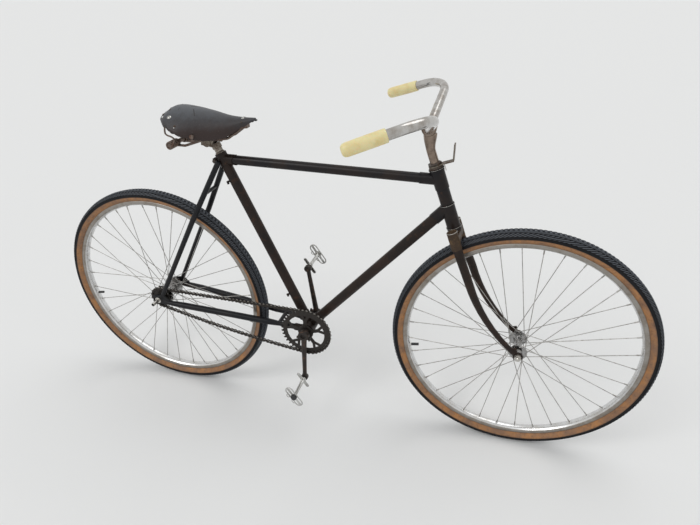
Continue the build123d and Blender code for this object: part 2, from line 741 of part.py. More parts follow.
# Cranks and their axle
pedal_axle_d = 8
pedal_start = 12
pedal_length = 84
boss_r = 17
boss_width = 16
eye_r = 11
eye_width = 14
arm_start = 14
arm_d = 17
arm_end_d = 13
cotter_d = 8
cotter_out = (15, 23)
crank_ends = {"right": (-1, crank_angle_right), "left": (1, crank_angle_left)}
crank_ways = {}
for name, (side, angle) in crank_ends.items():
    crank_ways[name] = Vector(cos(radians(angle)), 0, sin(radians(angle)))
save("crank_axle", Location(bracket) * disc(0, crank_axle_d / 2, 2 * (crank_plane + 4)))
for name, (side, angle) in crank_ends.items():
    way = crank_ways[name]
    root = bracket + Vector(0, side * crank_plane, 0)
    tip = root + way * crank_length
    arm = rod(root + way * arm_start, tip, arm_d, arm_end_d)
    arm += Location(root) * disc(0, boss_r, boss_width)
    arm += Location(tip) * disc(0, eye_r, eye_width)
    arm -= Location(root) * disc(0, crank_axle_d / 2 + shaft_fit, 2 * boss_width)
    cross = Vector(way.Z, 0, -way.X)
    cotter = root + way * 11
    arm += rod(cotter + cross * cotter_out[0], cotter + cross * cotter_out[1], cotter_d)
    pin_end = pedal_start + pedal_length - 4
    arm += rod(tip + side_way * side * (eye_width / 2 - 1), tip + side_way * side * pin_end, pedal_axle_d)
    if name == "right":
        boss_face = crank_plane - boss_width / 2
        gap = boss_face - (chain_line + tooth_thickness / 2)
        spacer = disc(-(boss_face - gap / 2), boss_r - 2, gap, crank_axle_d / 2 + shaft_fit)
        arm += Location(bracket) * spacer
    save("crank_" + name, arm)

# Pedals that have lost their rubber blocks: end plates, a slim barrel and a cap
pedal_angle = 56
pedal_running_gap = 0.3
barrel_d = 12
hub_cone_d = 18
hub_cone_length = 15
inner_plate_y = 17
outer_plate_y = 93
end_plate_thickness = 2.5
lobe_spread = 24
cap_d = 15
cap_length = 8
pedal_plates = ((inner_plate_y, 5.5), (outer_plate_y, 9.5))  # distance out, radius of the end lobes
pedal_bore_length = pedal_length + 9
pedal_bore_middle = (pedal_start + pedal_length - 3) / 2
cap_middle = pedal_start + pedal_length + cap_length / 2 - 3
cone_outline = ((pedal_start, 0), (pedal_start, hub_cone_d / 2),
                (pedal_start + hub_cone_length, barrel_d / 2), (pedal_start + hub_cone_length, 0))
for name, (side, angle) in crank_ends.items():
    tip = bracket + Vector(0, side * crank_plane, 0) + crank_ways[name] * crank_length
    body = disc(side * (pedal_start + outer_plate_y) / 2, barrel_d / 2, outer_plate_y - pedal_start)
    body += turned([(side * y, r) for y, r in cone_outline])
    for plate_out, lobe_r in pedal_plates:
        body += Location((0, side * plate_out, 0)) * Box(2 * lobe_spread, end_plate_thickness, 1.5 * lobe_r)
        for x in (-lobe_spread, lobe_spread):
            body += Location((x, side * plate_out, 0)) * across * Cylinder(lobe_r, end_plate_thickness)
    body -= disc(side * pedal_bore_middle, pedal_axle_d / 2 + pedal_running_gap, pedal_bore_length)
    body += disc(side * cap_middle, cap_d / 2, cap_length)
    save("pedal_cage_" + name, Location(tip, (0, pedal_angle, 0)) * body)

# Steering: crown and steerer with the sockets of its legs
steerer_d = 25.4
steerer_bore = 22.4
steerer_above = 14
crown_depth = 25
crown_race_d = 33
crown_race_height = 5.5
crown_solid_up = 30
blade_top_y = 40
blade_d = 24
blade_end_d = 13
leg_socket_drop = 14
leg_socket_rise = 35
leg_wall = 1.6
steerer_top = head_top + upper_stack + steerer_above
crown = Pos(0, 0, crown_bottom_up) * Box(crown_depth, 2 * blade_top_y, crown_height, align=up_align)
crown += column(crown_bottom_up + crown_height, crown_race_height, crown_race_d)
crown += column(crown_bottom_up, steerer_top - crown_bottom_up, steerer_d)
for side in (-1, 1):
    leg = column(crown_bottom_up - leg_socket_drop, leg_socket_drop + leg_socket_rise, blade_d + 2 * leg_wall)
    crown += Pos(0, side * blade_top_y, 0) * leg
crown -= column(crown_bottom_up + crown_solid_up, steerer_top, steerer_bore)

# Blades, which curve forward to the front axle
blade_bend_up = 245
blade_bend_ahead = 6
blade_bend_y = 50
blade_low = 10
blade_top_taper = 2
blade_end_y = front_hub_width / 2 + fork_end_thickness / 2
reach = fork_rake - blade_bend_ahead
bend_r = (reach ** 2 + blade_bend_up ** 2) / (2 * reach)
sections_down = 8
end_plate_r = 13
end_tab = (14, 28)
bend_d = blade_d - blade_top_taper
blades = []
for side in (-1, 1):
    line = [(0, side * blade_top_y, crown_bottom_up + 4)]
    sizes = [blade_d]
    for k in range(sections_down + 1):
        share = k / sections_down
        h = blade_bend_up * (1 - share) + blade_low * share
        ahead = blade_bend_ahead + bend_r - sqrt(bend_r ** 2 - (blade_bend_up - h) ** 2)
        line.append((ahead, side * (blade_bend_y + (blade_end_y - blade_bend_y) * share), h))
        sizes.append(bend_d + (blade_end_d - bend_d) * share)
    pieces = []
    for k in range(len(line) - 1):
        pieces.append(rod(line[k], line[k + 1], sizes[k], sizes[k + 1]))
        if k:
            pieces.append(ball(line[k], sizes[k]))
    foot = Location((fork_rake, side * blade_end_y, 0), (90, 0, 0))
    blade = joined(pieces) - foot * Cylinder(end_plate_r + 1, fork_end_thickness * 6)
    blade += foot * Cylinder(end_plate_r, fork_end_thickness)
    tab = Box(end_tab[0], fork_end_thickness, end_tab[1])
    blade += Location((fork_rake - 5, side * blade_end_y, end_tab[1] / 2)) * tab
    blade -= foot * Cylinder(axle_d / 2 + shaft_fit, 40)
    blades.append(blade)
save("fork_crown", steer * (crown - blades[0] - blades[1]))
save("fork_blades", [steer * blade for blade in blades])

# Front axle with its nuts and cones
front_nut_start = front_hub_width / 2 + fork_end_thickness
front_axle_body = disc(0, axle_d / 2, 2 * (front_nut_start + axle_nut_length + axle_stub))
for side in (-1, 1):
    front_axle_body += disc(side * (front_nut_start + axle_nut_length / 2), axle_nut_d / 2, axle_nut_length)
    front_axle_body += disc(side * (front_hub_width / 2 - 3), lock_d / 2, 6)
save("front_axle", Location(front_axle) * front_axle_body)

# Headset's turning nuts, and the lamp bracket held between them
adjuster_d = 36
locknut_d = 34
bracket_reach = 46
bracket_width = 18
riser_height = 42
riser_lean = 20
lamp_hole_d = 8
lamp_hole_up = 30
bore_cut = column(adjuster_up - 20, 60, steerer_d + 2 * shaft_fit)
adjuster = column(adjuster_up, adjuster_height, adjuster_d)
locknut = column(locknut_up, locknut_height, locknut_d)
save("headset_nut", [steer * (adjuster - bore_cut), steer * (locknut - bore_cut)])
flat_strip = column(strip_up, lamp_strip, locknut_d)
flat_bar = Box(bracket_reach, bracket_width, lamp_strip, align=up_align)
flat_strip += Pos(bracket_reach / 2, 0, strip_up) * flat_bar
riser = Box(lamp_strip, bracket_width, riser_height, align=up_align)
riser -= Location((0, 0, lamp_hole_up), (0, 90, 0)) * Cylinder(lamp_hole_d / 2, 20)
riser_spot = Location((bracket_reach - lamp_strip / 2, 0, strip_up), (0, riser_lean, 0))
save("lamp_bracket", steer * (flat_strip + riser_spot * riser - bore_cut))

# Stem, whose neck widens into the clamp
stem_clamp_d = 36
stem_clamp_width = 38
stem_flare_d = 33
stem_depth = 60
stem_flare_up = 38
quill_d = steerer_bore - 2 * fit
clamp = Vector(bar_clamp_ahead, 0, bar_clamp_up)
flare_start = Vector(0, 0, stack_top + stem_flare_up)
stem = column(head_top - stem_depth, flare_start.Z - head_top + stem_depth, quill_d)
stem += ball(flare_start, quill_d)
stem += rod(flare_start, clamp - Vector(2, 0, 6), quill_d, stem_flare_d)
stem += Location(clamp, (90, 0, 0)) * Cylinder(stem_clamp_d / 2, stem_clamp_width)
stem -= Location(clamp, (90, 0, 0)) * Cylinder(bar_clamp_d / 2 + fit, 3 * stem_clamp_width)
save("stem", steer * (bar_turn * stem))

# Bars, one tube from end to end, and the grips
bar_clamp_half = 20
bar_clamp_bend = 30
sleeve_width = 42
bar_points = []
grip_lines = []
for side in (-1, 1):
    outer_end = Vector(-bar_end_back, side * bar_end_half, bar_end_up)
    corner = Vector(bar_corner_ahead, side * bar_corner_half, bar_corner_up)
    inward = (corner - outer_end).normalized()
    half = [outer_end + inward * grip_cap, corner, Vector(bar_clamp_ahead, side * bar_clamp_half, bar_clamp_up)]
    bar_points += half if side < 0 else half[::-1]
    grip_lines.append((outer_end, inward))
bends = [bar_corner_radius, bar_clamp_bend, bar_clamp_bend, bar_corner_radius]
path = FilletPolyline(*bar_points, radius=bends)
bar = sweep(Plane(origin=path @ 0, z_dir=path % 0) * Circle(bar_d / 2), path=path)
bar_sleeve = Location(clamp, (90, 0, 0)) * Cylinder(bar_clamp_d / 2, sleeve_width)
save("handlebar", steer * (bar_turn * (bar + bar_sleeve)))
grip_r = grip_d / 2
grip_outline = ((0, 0), (0, 0.45 * grip_r), (1.2, 0.7 * grip_r), (3.5, 0.88 * grip_r), (8, grip_r),
                (grip_length - 3, grip_r), (grip_length, grip_r - 1.5), (grip_length, 0))  # along, radius
grips = []
for outer_end, inward in grip_lines:
    profile = Face(Wire.make_polygon([Vector(r, 0, along_grip) for along_grip, r in grip_outline], close=True))
    grip = Location(Plane(origin=outer_end, z_dir=inward)) * revolve(profile, Axis.Z, 360)
    grip -= rod(outer_end + inward * grip_cap, outer_end + inward * 2 * grip_length, bar_d + 2 * fit)
    grips.append(steer * (bar_turn * grip))
save("handlebar_grips", grips)

# Wheels: tyre, rim, spokes with their nipples, hub and valve, each turned about its axle
wheel_table = (  # name, centre, flange half spread, flange radius, hub half width, shell radius
    ("front", front_axle, 32, 19, 41.5, 11),
    ("rear", rear_axle, 27, 27, 40, 17),
)
half_tyre = tyre_width / 2
half_bead = half_tyre - 10
half_tread = half_tyre - 8.5
half_rim = rim_width / 2
rim_wall_depth = 12
rim_floor_half = 6
flange_lip = 5
flange_thickness = 3
hub_taper = 7
hub_end_drop = 3
hub_gap = 1
elbow_length = 5
elbow_offset = 2.5
valve_d = 8
valve_length = 24
widest_radius = rim_outer_radius + 0.51 * tyre_height
tyre_outline = [(-half_bead, rim_outer_radius), (-half_tyre, widest_radius), (-half_tread, wheel_radius),
                (half_tread, wheel_radius), (half_tyre, widest_radius), (half_bead, rim_outer_radius)]
rim_outline = [(-half_bead, rim_outer_radius), (-half_rim, rim_outer_radius),
               (-half_rim, rim_outer_radius - rim_wall_depth), (-rim_floor_half, rim_inner_radius),
               (rim_floor_half, rim_inner_radius), (half_rim, rim_outer_radius - rim_wall_depth),
               (half_rim, rim_outer_radius), (half_bead, rim_outer_radius)]
for name, centre, flange_y, flange_r, hub_half, shell_r in wheel_table:
    spot = Location(centre)
    save(name + "_tyre", spot * turned(tyre_outline))
    save(name + "_rim", spot * turned(rim_outline))
    flange_outside = flange_y + flange_thickness / 2
    flange_edge_r = flange_r + flange_lip
    hub_line = [(hub_half, shell_r - hub_end_drop), (flange_outside + 1, shell_r + 1),
                (flange_outside, flange_edge_r), (flange_outside - flange_thickness, flange_edge_r),
                (flange_y - flange_thickness, shell_r + 2), (flange_y - hub_taper, shell_r)]
    bore_r = axle_d / 2 + hub_gap
    hub_outline = [(hub_half, bore_r)] + hub_line + [(-y, r) for y, r in hub_line[::-1]] + [(-hub_half, bore_r)]
    save(name + "_hub", spot * turned(hub_outline))
    wires = []
    for k in range(spokes):
        rim_angle = 2 * pi * k / spokes + radians(spoke_phase)
        side = 1 if k % 2 else -1
        lead = 1 if (k // 2) % 2 else -1
        hub_angle = rim_angle + lead * radians(spoke_cross_angle)
        hub_y = side * (flange_y + lead * elbow_offset)
        a = Vector(flange_r * cos(hub_angle), hub_y, flange_r * sin(hub_angle))
        seat_r = rim_inner_radius + spoke_seat
        b = Vector(seat_r * cos(rim_angle), side * 2, seat_r * sin(rim_angle))
        elbow = a - Vector(0, side * lead * elbow_length, 0)
        way = (b - a).normalized()
        spoke = rod(a, b, spoke_d) + ball(a, spoke_d) + rod(a, elbow, spoke_d)
        wires.append(spot * (spoke + rod(b - way * nipple_length, b, nipple_d)))
    save(name + "_spokes", wires)
    valve_way = Vector(cos(radians(valve_angle)), 0, sin(radians(valve_angle)))
    valve = rod(valve_way * (rim_inner_radius - valve_length), valve_way * (rim_inner_radius - 0.15), valve_d)
    save(name + "_valve", spot * valve)

whole = Compound(list(made.values())).bounding_box()
print("pieces", len(made), "box", whole.min, whole.max)
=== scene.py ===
"""Dresses the vintage bicycle: camera, floor, light, materials and fine detail on the CAD frame.

The frame is in metres, +X forward, +Y to the rider's left and +Z up, with the origin on the saddle's top.
Sizes below are in millimetres, most of them taken from the bottom bracket's centre as in the CAD.
"""

from functools import lru_cache
from math import asin, atan2, cos, hypot, pi, radians, sin, sqrt

import bmesh
import bpy
from mathutils import Matrix, Vector


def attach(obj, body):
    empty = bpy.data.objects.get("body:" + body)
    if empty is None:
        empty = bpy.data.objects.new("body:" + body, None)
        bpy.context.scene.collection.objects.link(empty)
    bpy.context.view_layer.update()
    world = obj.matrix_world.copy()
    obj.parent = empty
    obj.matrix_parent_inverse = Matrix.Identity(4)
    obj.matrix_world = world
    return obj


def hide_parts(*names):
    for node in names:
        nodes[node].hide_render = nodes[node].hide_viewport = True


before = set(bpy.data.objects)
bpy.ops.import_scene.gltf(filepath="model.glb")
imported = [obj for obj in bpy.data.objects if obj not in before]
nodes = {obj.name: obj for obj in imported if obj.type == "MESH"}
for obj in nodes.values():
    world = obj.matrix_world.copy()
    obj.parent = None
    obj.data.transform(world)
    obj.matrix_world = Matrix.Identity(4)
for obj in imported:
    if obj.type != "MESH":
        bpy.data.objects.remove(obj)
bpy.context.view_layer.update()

mm = 0.001

# Camera, at the photograph's place and angle
camera_place = (0.764179, -1.20647, 0.314901)
camera_turn = (60.1678, 1.0285, 16.3177)
camera_lens = 26.556
ground = -0.95553
floor_tone = (0.8, 0.8, 0.79)

# Frame layout, as in the CAD
seat_slope = radians(66.7)
head_slope = radians(70.1)
seat_cluster_up = 560
saddle_back = seat_cluster_up * cos(seat_slope) + 43.5
saddle_height = seat_cluster_up * sin(seat_slope) + 133.2
rear_axle_back = 494
front_axle_ahead = 613
axle_rise = 45
fork_rake = 75
bar_yaw = 3.9


def at(x, y, z):
    """A point given from the bottom bracket's centre, still in millimetres."""
    return Vector((x + saddle_back, y, z - saddle_height))


bracket = at(0, 0, 0)
rear_axle = at(-rear_axle_back, 0, axle_rise)
front_axle = at(front_axle_ahead, 0, axle_rise)
side_way = Vector((0, 1, 0))
up_seat = Vector((-cos(seat_slope), 0, sin(seat_slope)))
back = Vector((-sin(seat_slope), 0, -cos(seat_slope)))
cluster = bracket + up_seat * seat_cluster_up
axis_up = Vector((-cos(head_slope), 0, sin(head_slope)))
axis_ahead = Vector((sin(head_slope), 0, cos(head_slope)))
steer_foot = front_axle - axis_ahead * fork_rake
steer = Matrix((axis_ahead, side_way, axis_up)).transposed().to_4x4()
steer.translation = steer_foot
bar_frame = steer @ Matrix.Rotation(radians(bar_yaw), 4, "Z")
wheels = {"front": front_axle, "rear": rear_axle}

# The steering's stack, up from the foot of its axis
wheel_radius = 353
crown_bottom_up = sqrt((wheel_radius + 11.8) ** 2 - fork_rake ** 2)
crown_height = 18
head_bottom = crown_bottom_up + crown_height + 15
head_top = head_bottom + 53 + 75 + 23
adjuster_up = head_top + 7.5
locknut_up = adjuster_up + 9
bar_clamp_up = head_top + 106.6
bar_clamp_ahead = 12.2
bar_clamp = bar_frame @ Vector((bar_clamp_ahead, 0, bar_clamp_up))


def shown(name, data):
    """A new object, linked to the scene."""
    made = bpy.data.objects.new(name, data)
    bpy.context.scene.collection.objects.link(made)
    return made


# Camera, floor and light
def make_camera():
    """The camera, where the photograph was taken from."""
    data = bpy.data.cameras.new("camera")
    data.lens = camera_lens
    data.sensor_width = 36
    camera = shown("camera", data)
    camera.location = camera_place
    camera.rotation_euler = [radians(a) for a in camera_turn]
    bpy.context.scene.camera = camera


def make_floor():
    """A plain pale floor that keeps the object's shadow."""
    half = 60
    corners = [(-half, -half, ground), (half, -half, ground), (half, half, ground), (-half, half, ground)]
    mesh = bpy.data.meshes.new("floor")
    mesh.from_pydata(corners, [], [(0, 1, 2, 3)])
    floor = shown("floor", mesh)
    material = bpy.data.materials.new("floor")
    material.use_nodes = True
    shader = material.node_tree.nodes["Principled BSDF"]
    shader.inputs["Base Color"].default_value = (*floor_tone, 1)
    shader.inputs["Roughness"].default_value = 0.9
    mesh.materials.append(material)


def make_world():
    """Even light from all round, seen in the floor's own tone by the camera and in reflections."""
    world = bpy.data.worlds.new("world")
    world.use_nodes = True
    tree = world.node_tree
    light = tree.nodes["Background"]
    white = tree.nodes.new("ShaderNodeBackground")
    for node, colour, strength in ((light, (0.97, 0.985, 1), 0.62), (white, floor_tone, 1)):
        node.inputs["Color"].default_value = (*colour, 1)
        node.inputs["Strength"].default_value = strength
    rays = tree.nodes.new("ShaderNodeLightPath")
    seen = rays.outputs["Is Camera Ray"]
    for kind in ("Is Glossy Ray", "Is Transmission Ray"):
        either = tree.nodes.new("ShaderNodeMath")
        either.operation = "MAXIMUM"
        tree.links.new(seen, either.inputs[0])
        tree.links.new(rays.outputs[kind], either.inputs[1])
        seen = either.outputs[0]
    choose = tree.nodes.new("ShaderNodeMixShader")
    for k, source in enumerate((seen, light.outputs[0], white.outputs[0])):
        tree.links.new(source, choose.inputs[k])
    tree.links.new(choose.outputs[0], tree.nodes["World Output"].inputs["Surface"])
    bpy.context.scene.world = world


def soft_sun(name, way, spread, strength):
    """A wide, soft lamp that shines from one direction on all alike."""
    data = bpy.data.lights.new(name, "SUN")
    data.angle = radians(spread)
    data.energy = strength
    shown(name, data).rotation_euler = Vector(way).to_track_quat("Z", "Y").to_euler()


make_camera()
make_floor()
make_world()
soft_sun("key_light", (-0.75, -1, 1.25), 26, 0.75)
soft_sun("top_light", (0.25, 0.35, 1), 44, 0.65)
bpy.context.scene.view_settings.view_transform = "Standard"


# Mesh building
def angles(count):
    """Angles spread evenly round a circle."""
    return [2 * pi * k / count for k in range(count)]


class Shape:
    """Corners and faces of a piece in millimetres, gathered before it becomes an object."""

    def __init__(self):
        self.points = []
        self.faces = []
        self.skins = []

    def add(self, points, faces, place=None, skin=0):
        """Adds corners, moved by a matrix, and faces that number them from 0."""
        first = len(self.points)
        for point in points:
            self.points.append(place @ Vector(point) if place else Vector(point))
        for face in faces:
            self.faces.append([first + k for k in face])
            self.skins.append(skin)

    def turn(self, profile, place, steps, loop=False, skins=None, skin=0):
        """Turns a profile of (y, radius) about the Y axis of the place."""
        points = []
        rings = []
        for y, r in profile:
            count = 1 if r < 1e-6 else steps
            rings.append((len(points), count))
            for a in angles(count):
                points.append((r * cos(a), y, r * sin(a)))
        start = len(self.points)
        self.add(points, [], place)
        spans = zip(rings, rings[1:] + rings[:1] if loop else rings[1:])
        for number, ((first, count), (after, count_after)) in enumerate(spans):
            if count == 1 and count_after == 1:
                continue
            for k in range(steps):
                n = (k + 1) % steps
                if count == 1:
                    face = (first, after + n, after + k)
                elif count_after == 1:
                    face = (first + k, first + n, after)
                else:
                    face = (first + k, first + n, after + n, after + k)
                self.faces.append([start + corner for corner in face])
                self.skins.append(skins[number] if skins else skin)

    def tube(self, line, radii, sides, place=None, loop=False):
        """A round tube along a line of points, with one radius or one for each point."""
        line = [Vector(p) for p in line]
        count = len(line)
        sizes = radii if isinstance(radii, (list, tuple)) else [radii] * count
        points = []
        side = None
        for k, centre in enumerate(line):
            before = line[k - 1] if k or loop else centre
            after = line[(k + 1) % count] if k < count - 1 or loop else centre
            way = (after - before).normalized()
            if side is None:
                side = way.orthogonal().normalized()
            side = (side - way * side.dot(way)).normalized()
            other = way.cross(side)
            for a in angles(sides):
                points.append(centre + (side * cos(a) + other * sin(a)) * sizes[k])
        faces = []
        for k in range(count if loop else count - 1):
            for n in range(sides):
                m = (n + 1) % sides
                here = k * sides
                there = (k + 1) % count * sides
                faces.append((here + n, here + m, there + m, there + n))
        if not loop:
            faces.append(tuple(range(sides))[::-1])
            faces.append(tuple((count - 1) * sides + n for n in range(sides)))
        self.add(points, faces, place)

    def prism(self, outline, low, high, place, skin=0):
        """A flat plate with an outline in X and Z, between two places along the place's Y axis."""
        low, high = sorted((low, high))
        count = len(outline)
        points = [(x, low, z) for x, z in outline] + [(x, high, z) for x, z in outline]
        faces = [tuple(range(count)), tuple(range(2 * count - 1, count - 1, -1))]
        for k in range(count):
            n = (k + 1) % count
            faces.append((k, k + count, n + count, n))
        self.add(points, faces, place, skin)


def mirrored(half):
    """A profile of (y, radius) carried on by its mirror image."""
    return half + [(-y, r) for y, r in half[::-1]]


def moved(place):
    """A matrix that only moves."""
    return Matrix.Translation(Vector(place))


def facing(place, way, roll=0):
    """A matrix whose Y axis points along way."""
    turn = Vector(way).to_track_quat("Y", "Z").to_matrix().to_4x4()
    return Matrix.Translation(Vector(place)) @ turn @ Matrix.Rotation(radians(roll), 4, "Y")


def nut(shape, place, across_flats, low, high, bore):
    """A hexagon nut with turned-down corners and an open bore."""
    r = across_flats / 2 / cos(pi / 6)
    edge = (r - across_flats / 2) * 0.75
    step = edge * 0.7
    flats = [(low, r - edge), (low + step, r), (high - step, r), (high, r - edge)]
    shape.turn([(low, bore)] + flats + [(high, bore)], place, 6)


def smooth_line(points, steps):
    """A smooth line through the points, with steps between each two."""
    points = [Vector(p) for p in points]
    line = []
    last = len(points) - 1
    for k in range(last):
        a = points[max(k - 1, 0)]
        b = points[k]
        c = points[k + 1]
        d = points[min(k + 2, last)]
        for n in range(steps):
            t = n / steps
            line.append(0.5 * (2 * b + (c - a) * t + (2 * a - 5 * b + 4 * c - d) * t ** 2
                               + (3 * b - a - 3 * c + d) * t ** 3))
    line.append(points[-1])
    return line


def piece(name, shape, body, materials, replaces="", sharp=38):
    """The gathered shape as an object that rides on a body, with materials given by their names."""
    mesh = bpy.data.meshes.new(name)
    mesh.from_pydata([p * mm for p in shape.points], [], shape.faces)
    mesh.polygons.foreach_set("material_index", shape.skins)
    mesh.validate()
    skin = bmesh.new()
    skin.from_mesh(mesh)
    bmesh.ops.recalc_face_normals(skin, faces=skin.faces)
    skin.to_mesh(mesh)
    skin.free()
    mesh.polygons.foreach_set("use_smooth", [True] * len(mesh.polygons))
    mesh.set_sharp_from_angle(angle=radians(sharp))
    for material in materials.split():
        mesh.materials.append(palette[material])
    made = shown(name, mesh)
    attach(made, body)
    if replaces:
        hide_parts(*replaces.split())
    return made


def cast(made, grain, rounds):
    """Melts overlapping forms into one skin with soft corners, as in a forging."""
    melted = made.modifiers.new("melted", "REMESH")
    melted.mode = "VOXEL"
    melted.voxel_size = grain * mm
    melted.use_smooth_shade = True
    softened = made.modifiers.new("softened", "SMOOTH")
    softened.factor = 0.5
    softened.iterations = rounds


# Materials, kept by their names
palette = {}


class Skin:
    """A material mixed from nodes, its patterns placed on the piece itself, in millimetres."""

    def __init__(self, name, centre=(0, 0, 0), **uniform):
        palette[name] = bpy.data.materials.new(name)
        palette[name].use_nodes = True
        self.tree = palette[name].node_tree
        self.shader = self.tree.nodes["Principled BSDF"]
        for socket, value in uniform.items():
            self.shader.inputs[socket.replace("_", " ")].default_value = value
        where = self.tree.nodes.new("ShaderNodeTexCoord").outputs["Object"]
        self.place = self.mapped(where, (1000, 1000, 1000), [-c for c in centre])

    def node(self, kind, inputs, output=0, **settings):
        """One output of a new node, whose inputs are each a value or a socket."""
        made = self.tree.nodes.new("ShaderNode" + kind)
        for setting, value in settings.items():
            setattr(made, setting, value)
        for socket, value in inputs.items():
            if isinstance(value, bpy.types.NodeSocket):
                self.tree.links.new(value, made.inputs[socket])
            else:
                made.inputs[socket].default_value = value
        return made.outputs[output]

    def mapped(self, source, scale, move=(0, 0, 0)):
        """Coordinates scaled and then moved."""
        return self.node("Mapping", {"Vector": source, "Scale": scale, "Location": move})

    def noise(self, size, detail=3, rough=0.55, move=(0, 0, 0)):
        """Cloudy noise whose blots are about size millimetres."""
        place = self.mapped(self.place, (1, 1, 1), move)
        values = {"Vector": place, "Scale": 1 / size, "Detail": detail, "Roughness": rough}
        return self.node("TexNoise", values, "Fac")

    def cells(self, size):
        """Distance to scattered points that lie about size millimetres apart."""
        return self.node("TexVoronoi", {"Vector": self.place, "Scale": 1 / size}, "Distance")

    def math(self, operation, a, b=0):
        """One sum of two values, each a number or a socket."""
        return self.node("Math", {0: a, 1: b}, operation=operation)

    def plus(self, a, b, share=1):
        """a and b added up, or a and a share of b."""
        return self.math("ADD", a, b if share == 1 else self.times(b, share))

    def minus(self, a, b):
        """a less b."""
        return self.math("SUBTRACT", a, b)

    def times(self, a, b):
        """a by b."""
        return self.math("MULTIPLY", a, b)

    def larger(self, a, b):
        """The larger of a and b."""
        return self.math("MAXIMUM", a, b)

    def across(self, a, b):
        """The long side of a right angle's triangle whose short sides are a and b."""
        return self.math("SQRT", self.plus(self.times(a, a), self.times(b, b)))

    def axes(self):
        """The three coordinates in millimetres, as sockets."""
        node = self.tree.nodes.new("ShaderNodeSeparateXYZ")
        self.tree.links.new(self.place, node.inputs[0])
        return list(node.outputs)

    def radius(self):
        """Distance from the Y axis through the centre."""
        x, _, z = self.axes()
        return self.across(x, z)

    def near_point(self, spot):
        """Distance from a point."""
        return self.node("VectorMath", {0: self.place, 1: spot}, "Value", operation="DISTANCE")

    def near_line(self, start, end):
        """Distance in plan view from a line between two points of (x, y)."""
        x, y, _ = self.axes()
        way = Vector(end) - Vector(start)
        unit = way.normalized()
        half = way.length / 2
        x = self.minus(x, start[0])
        y = self.minus(y, start[1])
        along = self.plus(self.times(x, unit[0]), self.times(y, unit[1]))
        aside = self.minus(self.times(x, unit[1]), self.times(y, unit[0]))
        past = self.minus(self.math("ABSOLUTE", self.minus(along, half)), half)
        return self.across(self.larger(past, 0), aside)

    def step(self, source, low, high):
        """0 below low and 1 above high, with a ramp between."""
        return self.node("MapRange", {"Value": source, "From Min": low, "From Max": high})

    def between(self, share, a, b):
        """A value from a to b."""
        return self.node("MapRange", {"Value": share, "To Min": a, "To Max": b})

    def mix(self, share, a, b):
        """A colour from a to b, each a colour or a socket."""
        a, b = [(*end, 1) if isinstance(end, tuple) else end for end in (a, b)]
        return self.node("Mix", {0: share, 6: a, 7: b}, 2, data_type="RGBA")

    def use(self, socket, source):
        """Feeds one socket of the shader."""
        self.tree.links.new(source, self.shader.inputs[socket])

    def rough(self, source, low, high, marks=None, more=0):
        """Roughness from low to high with a source, and more of it on the marks."""
        value = self.between(source, low, high)
        self.use("Roughness", self.plus(value, marks, more) if marks else value)

    def bump(self, height, depth):
        """Raises the surface by height times depth millimetres."""
        self.use("Normal", self.node("Bump", {"Height": height, "Distance": depth * mm, "Strength": 1}))


def enamel(name, paint, worn, rust, wear, shine):
    """Old enamel: clouded paint, brown worn areas, specks of rust and a pitted skin."""
    skin = Skin(name, Specular_IOR_Level=0.22)
    cloud = skin.step(skin.noise(60, 5), 0.5 - wear * 0.25, 0.5 + wear * 0.3)
    speck = skin.step(skin.noise(2.6, 6, 0.7), 0.64 - wear * 0.12, 0.72)
    patch = skin.step(skin.noise(19, 5, 0.65, move=(31, 7, 5)), 0.66 - wear * 0.16, 0.74)
    colour = skin.mix(cloud, paint, worn)
    colour = skin.mix(patch, colour, rust)
    colour = skin.mix(speck, colour, rust)
    skin.use("Base Color", colour)
    dull = skin.larger(patch, speck)
    skin.rough(skin.noise(33, 4), shine, shine + 0.25, dull, 0.3)
    skin.bump(skin.plus(skin.noise(1.4, 4), dull, -0.8), 0.1)


def bare_steel(name, steel, rust, amount, metallic=0.85, roughness=0.42):
    """Bare or plated steel that is partly rusted, with fine pits."""
    skin = Skin(name, Metallic=metallic)
    patch = skin.step(skin.noise(9, 6, 0.68), 0.62 - amount * 0.3, 0.7 - amount * 0.16)
    pits = skin.step(skin.noise(1.3, 5, 0.7, move=(3, 9, 1)), 0.6 - amount * 0.08, 0.7)
    grime = skin.noise(26, 4)
    dark = tuple(c * 0.55 for c in steel)
    colour = skin.mix(skin.step(grime, 0.35, 0.7), steel, dark)
    colour = skin.mix(skin.larger(patch, pits), colour, rust)
    skin.use("Base Color", colour)
    skin.use("Metallic", skin.between(patch, metallic, metallic * 0.25))
    skin.rough(grime, roughness - 0.1, roughness + 0.1, patch, 0.3)
    skin.bump(skin.plus(skin.noise(1.1, 4), patch, 1.2), 0.08)


def plating(name, metal, stain, pit, amount, roughness, browned_at=None):
    """Chrome with stains, dull clouds and dark pits, and brown round one point where it is given: partly
    rust, partly a painted reflection of brown ground.
    """
    skin = Skin(name, Metallic=1)
    cloud = skin.step(skin.noise(24, 5, 0.6), 0.42, 0.72)
    pits = skin.step(skin.noise(1, 4, 0.75), 0.7 - amount * 0.16, 0.76 - amount * 0.12)
    spots = skin.step(skin.noise(6, 6, 0.7, move=(5, 2, 8)), 0.66 - amount * 0.12, 0.74)
    colour = skin.mix(cloud, metal, stain)
    colour = skin.mix(skin.larger(pits, spots), colour, pit)
    if browned_at:
        # Brown round the given point: partly rust, partly a painted reflection of the brown ground beneath.
        reach = skin.plus(skin.near_point(browned_at), skin.noise(7, 5, 0.7), 50)
        colour = skin.mix(skin.times(skin.step(reach, 92, 52), 0.8), colour, (0.17, 0.115, 0.082))
    skin.use("Base Color", colour)
    skin.rough(cloud, roughness, roughness + 0.14, spots, 0.35)
    skin.bump(skin.plus(skin.noise(3, 3), pits, -1), 0.03)


